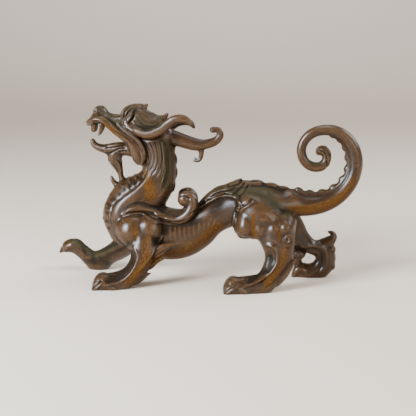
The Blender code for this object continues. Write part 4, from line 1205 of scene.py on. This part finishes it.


# The bronze's patina, with painted shade and painted reflections mixed into its colour.
def patina_and_painted_light():
    material = bpy.data.materials.new("bronze_patina_and_painted_light")
    material.use_nodes = True
    tree = material.node_tree
    shader = tree.nodes["Principled BSDF"]
    shader.inputs["Coat Roughness"].default_value = 0.3
    shader.inputs["Specular IOR Level"].default_value = 0.15

    place = Value(tree, tree.nodes.new("ShaderNodeTexCoord").outputs["Object"])
    facing = place.node("ShaderNodeNewGeometry", output=1)
    height = place.node("ShaderNodeSeparateXYZ", {0: facing}, output=2)
    stored = ("fine_hollow", "broad_hollow", "shelter", "olive", "amber_and_reflection_map", "shade_and_grime")
    fine, broad, sheltered, olive, amber_and_reflection_map, shade_and_grime = (
        place.node("ShaderNodeAttribute", output=2, attribute_name=name) for name in stored
    )
    clouds, mottle, grain, dust = (
        place.node("ShaderNodeTexNoise", {"Vector": place, "Scale": scale, "Detail": detail})
        for scale, detail in ((38, 3), (190, 4), (900, 3), (2600, 2))
    )

    # Dark patina in fine and broad hollows, plus painted shade where the figure itself closes in round a
    # point and in the shade places.
    patina_and_shade = fine * 0.8 + broad * 0.3 + sheltered * 0.35 + shade_and_grime * 1.4
    hollow = (patina_and_shade + (mottle - 0.5) * 0.6).step(0.3, 1.5)
    proud = (fine * -1.1 - broad * 0.5 - sheltered * 0.5 + (mottle - 0.5) * 0.6).step(0.15, 1.2)
    # Olive patina where the places say; on faces that turn up it is partly a painted reflection of the pale
    # light above.
    olive_and_top_reflection = (olive * 0.9 + height * 0.4 + (clouds - 0.5) * 0.9 + (mottle - 0.5) * 0.3).step(0.35, 1.25)
    # Warm brown where the places say and on faces that turn down: partly the bronze's tone, partly a painted
    # reflection of a warm floor beneath.
    warm_and_reflected = (amber_and_reflection_map * 0.9 - height * 0.5 + (clouds - 0.5) * 0.9 + (mottle - 0.5) * 0.4).step(0.2, 1.0)

    colour = (warm_and_reflected * 0.8).tint(BROWN, AMBER_AND_REFLECTION)
    colour = (proud * 0.55).tint(colour, RUBBED)
    colour = (olive_and_top_reflection * 0.85).tint(colour, OLIVE_AND_TOP_REFLECTION)
    # The hollow mask darkens the colour with hollow patina and painted shade together.
    colour = (hollow * 0.9).tint(colour, DEEP_BROWN_AND_SHADE)

    metal = 0.55 - olive_and_top_reflection * 0.45 - hollow * 0.2
    roughness = 0.37 + hollow * 0.22 + olive_and_top_reflection * 0.22 - proud * 0.05 + (mottle - 0.5) * 0.2 + (dust - 0.5) * 0.1
    coat = 0.58 - hollow * 0.55 - olive_and_top_reflection * 0.5 - warm_and_reflected * 0.5
    cast = grain * 1.3 + dust * 0.7 + mottle * 1.1
    bump = place.node("ShaderNodeBump", {"Height": cast, "Strength": 0.9, "Distance": 0.001})
    driven = (
        ("Base Color", colour),
        ("Metallic", metal),
        ("Roughness", roughness),
        ("Coat Weight", coat),
        ("Normal", bump),
    )
    for name, value in driven:
        tree.links.new(value.socket, shader.inputs[name])
    return material


def dragon():
    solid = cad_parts[SOLID]
    obj = linked("bronze_dragon", skin())
    write_hollows_and_shelter(obj.data, solid.data)
    obj.data.materials.append(patina_and_painted_light())
    obj.data.shade_smooth()
    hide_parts(SOLID)
    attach(obj, "root")


# Stage, light and camera


def floor():
    """A pale sheet that rises behind the figure."""
    bm = bmesh.new()
    profile = [(-1.6, 0.0), (0.9, 0.0), (1.15, 0.04), (1.32, 0.16), (1.4, 0.4), (1.42, 2.4)]
    left = [bm.verts.new((-3, y, z)) for y, z in profile]
    edges = [bm.edges.new(pair) for pair in zip(left, left[1:])]
    swept = bmesh.ops.extrude_edge_only(bm, edges=edges)["geom"]
    bmesh.ops.translate(bm, vec=(6, 0, 0), verts=[g for g in swept if isinstance(g, bmesh.types.BMVert)])
    bmesh.ops.recalc_face_normals(bm, faces=bm.faces[:])
    mesh = bpy.data.meshes.new("floor")
    bm.to_mesh(mesh)
    bm.free()
    mesh.shade_smooth()
    obj = linked("floor", mesh)
    bend = obj.modifiers.new("bend", "SUBSURF")
    bend.levels = 2
    bend.render_levels = 2
    material = bpy.data.materials.new("paper")
    material.use_nodes = True
    shader = material.node_tree.nodes["Principled BSDF"]
    shader.inputs["Base Color"].default_value = (0.66, 0.56, 0.45, 1)
    shader.inputs["Roughness"].default_value = 0.9
    shader.inputs["Specular IOR Level"].default_value = 0.1
    mesh.materials.append(material)


def pointed(obj, spot, aim):
    """Puts a lamp or camera on the spot and turns it towards the aim."""
    obj.location = spot
    obj.rotation_mode = "QUATERNION"
    obj.rotation_quaternion = (Vector(aim) - Vector(spot)).to_track_quat("-Z", "Y")


LIT = (0, 0, 0.06)  # what the lamps point at


def soft_light(name, spot, size, power, colour):
    lamp = bpy.data.lights.new(name, "AREA")
    lamp.shape = "RECTANGLE"
    lamp.size, lamp.size_y = size
    lamp.energy = power
    lamp.color = colour
    pointed(linked(name, lamp), spot, LIT)


def light():
    soft_light("window", (-0.72, -0.66, 0.42), (0.38, 0.56), 54, (0.79, 0.88, 1.0))
    soft_light("fill", (0.8, -0.9, 0.4), (0.7, 0.7), 10, (0.95, 0.91, 0.86))
    soft_light("top", (0.05, 0.05, 1.0), (0.6, 0.4), 5, (0.86, 0.93, 1.0))
    soft_light("rim", (0.8, 0.3, 0.7), (0.6, 0.6), 12, (0.9, 0.94, 1.0))
    world = bpy.data.worlds.new("studio")
    world.use_nodes = True
    world.node_tree.nodes["Background"].inputs["Color"].default_value = (0.9, 0.8, 0.68, 1)
    world.node_tree.nodes["Background"].inputs["Strength"].default_value = 0.15
    bpy.context.scene.world = world


CAMERA_SPOT = (0.0769, -0.6914, 0.199)
CAMERA_AIM = (0.0044, -0.0014, 0.059)
FRAME_PIXELS = 416  # side of the photograph
FOCAL_PIXELS = 950  # focal length of the photograph, in its own pixels


def camera():
    data = bpy.data.cameras.new("camera")
    data.sensor_width = 36
    data.lens = FOCAL_PIXELS / FRAME_PIXELS * data.sensor_width
    data.clip_start = 0.05
    data.clip_end = 10
    obj = linked("camera", data)
    pointed(obj, CAMERA_SPOT, CAMERA_AIM)
    bpy.context.scene.camera = obj


dragon()
floor()
light()
camera()
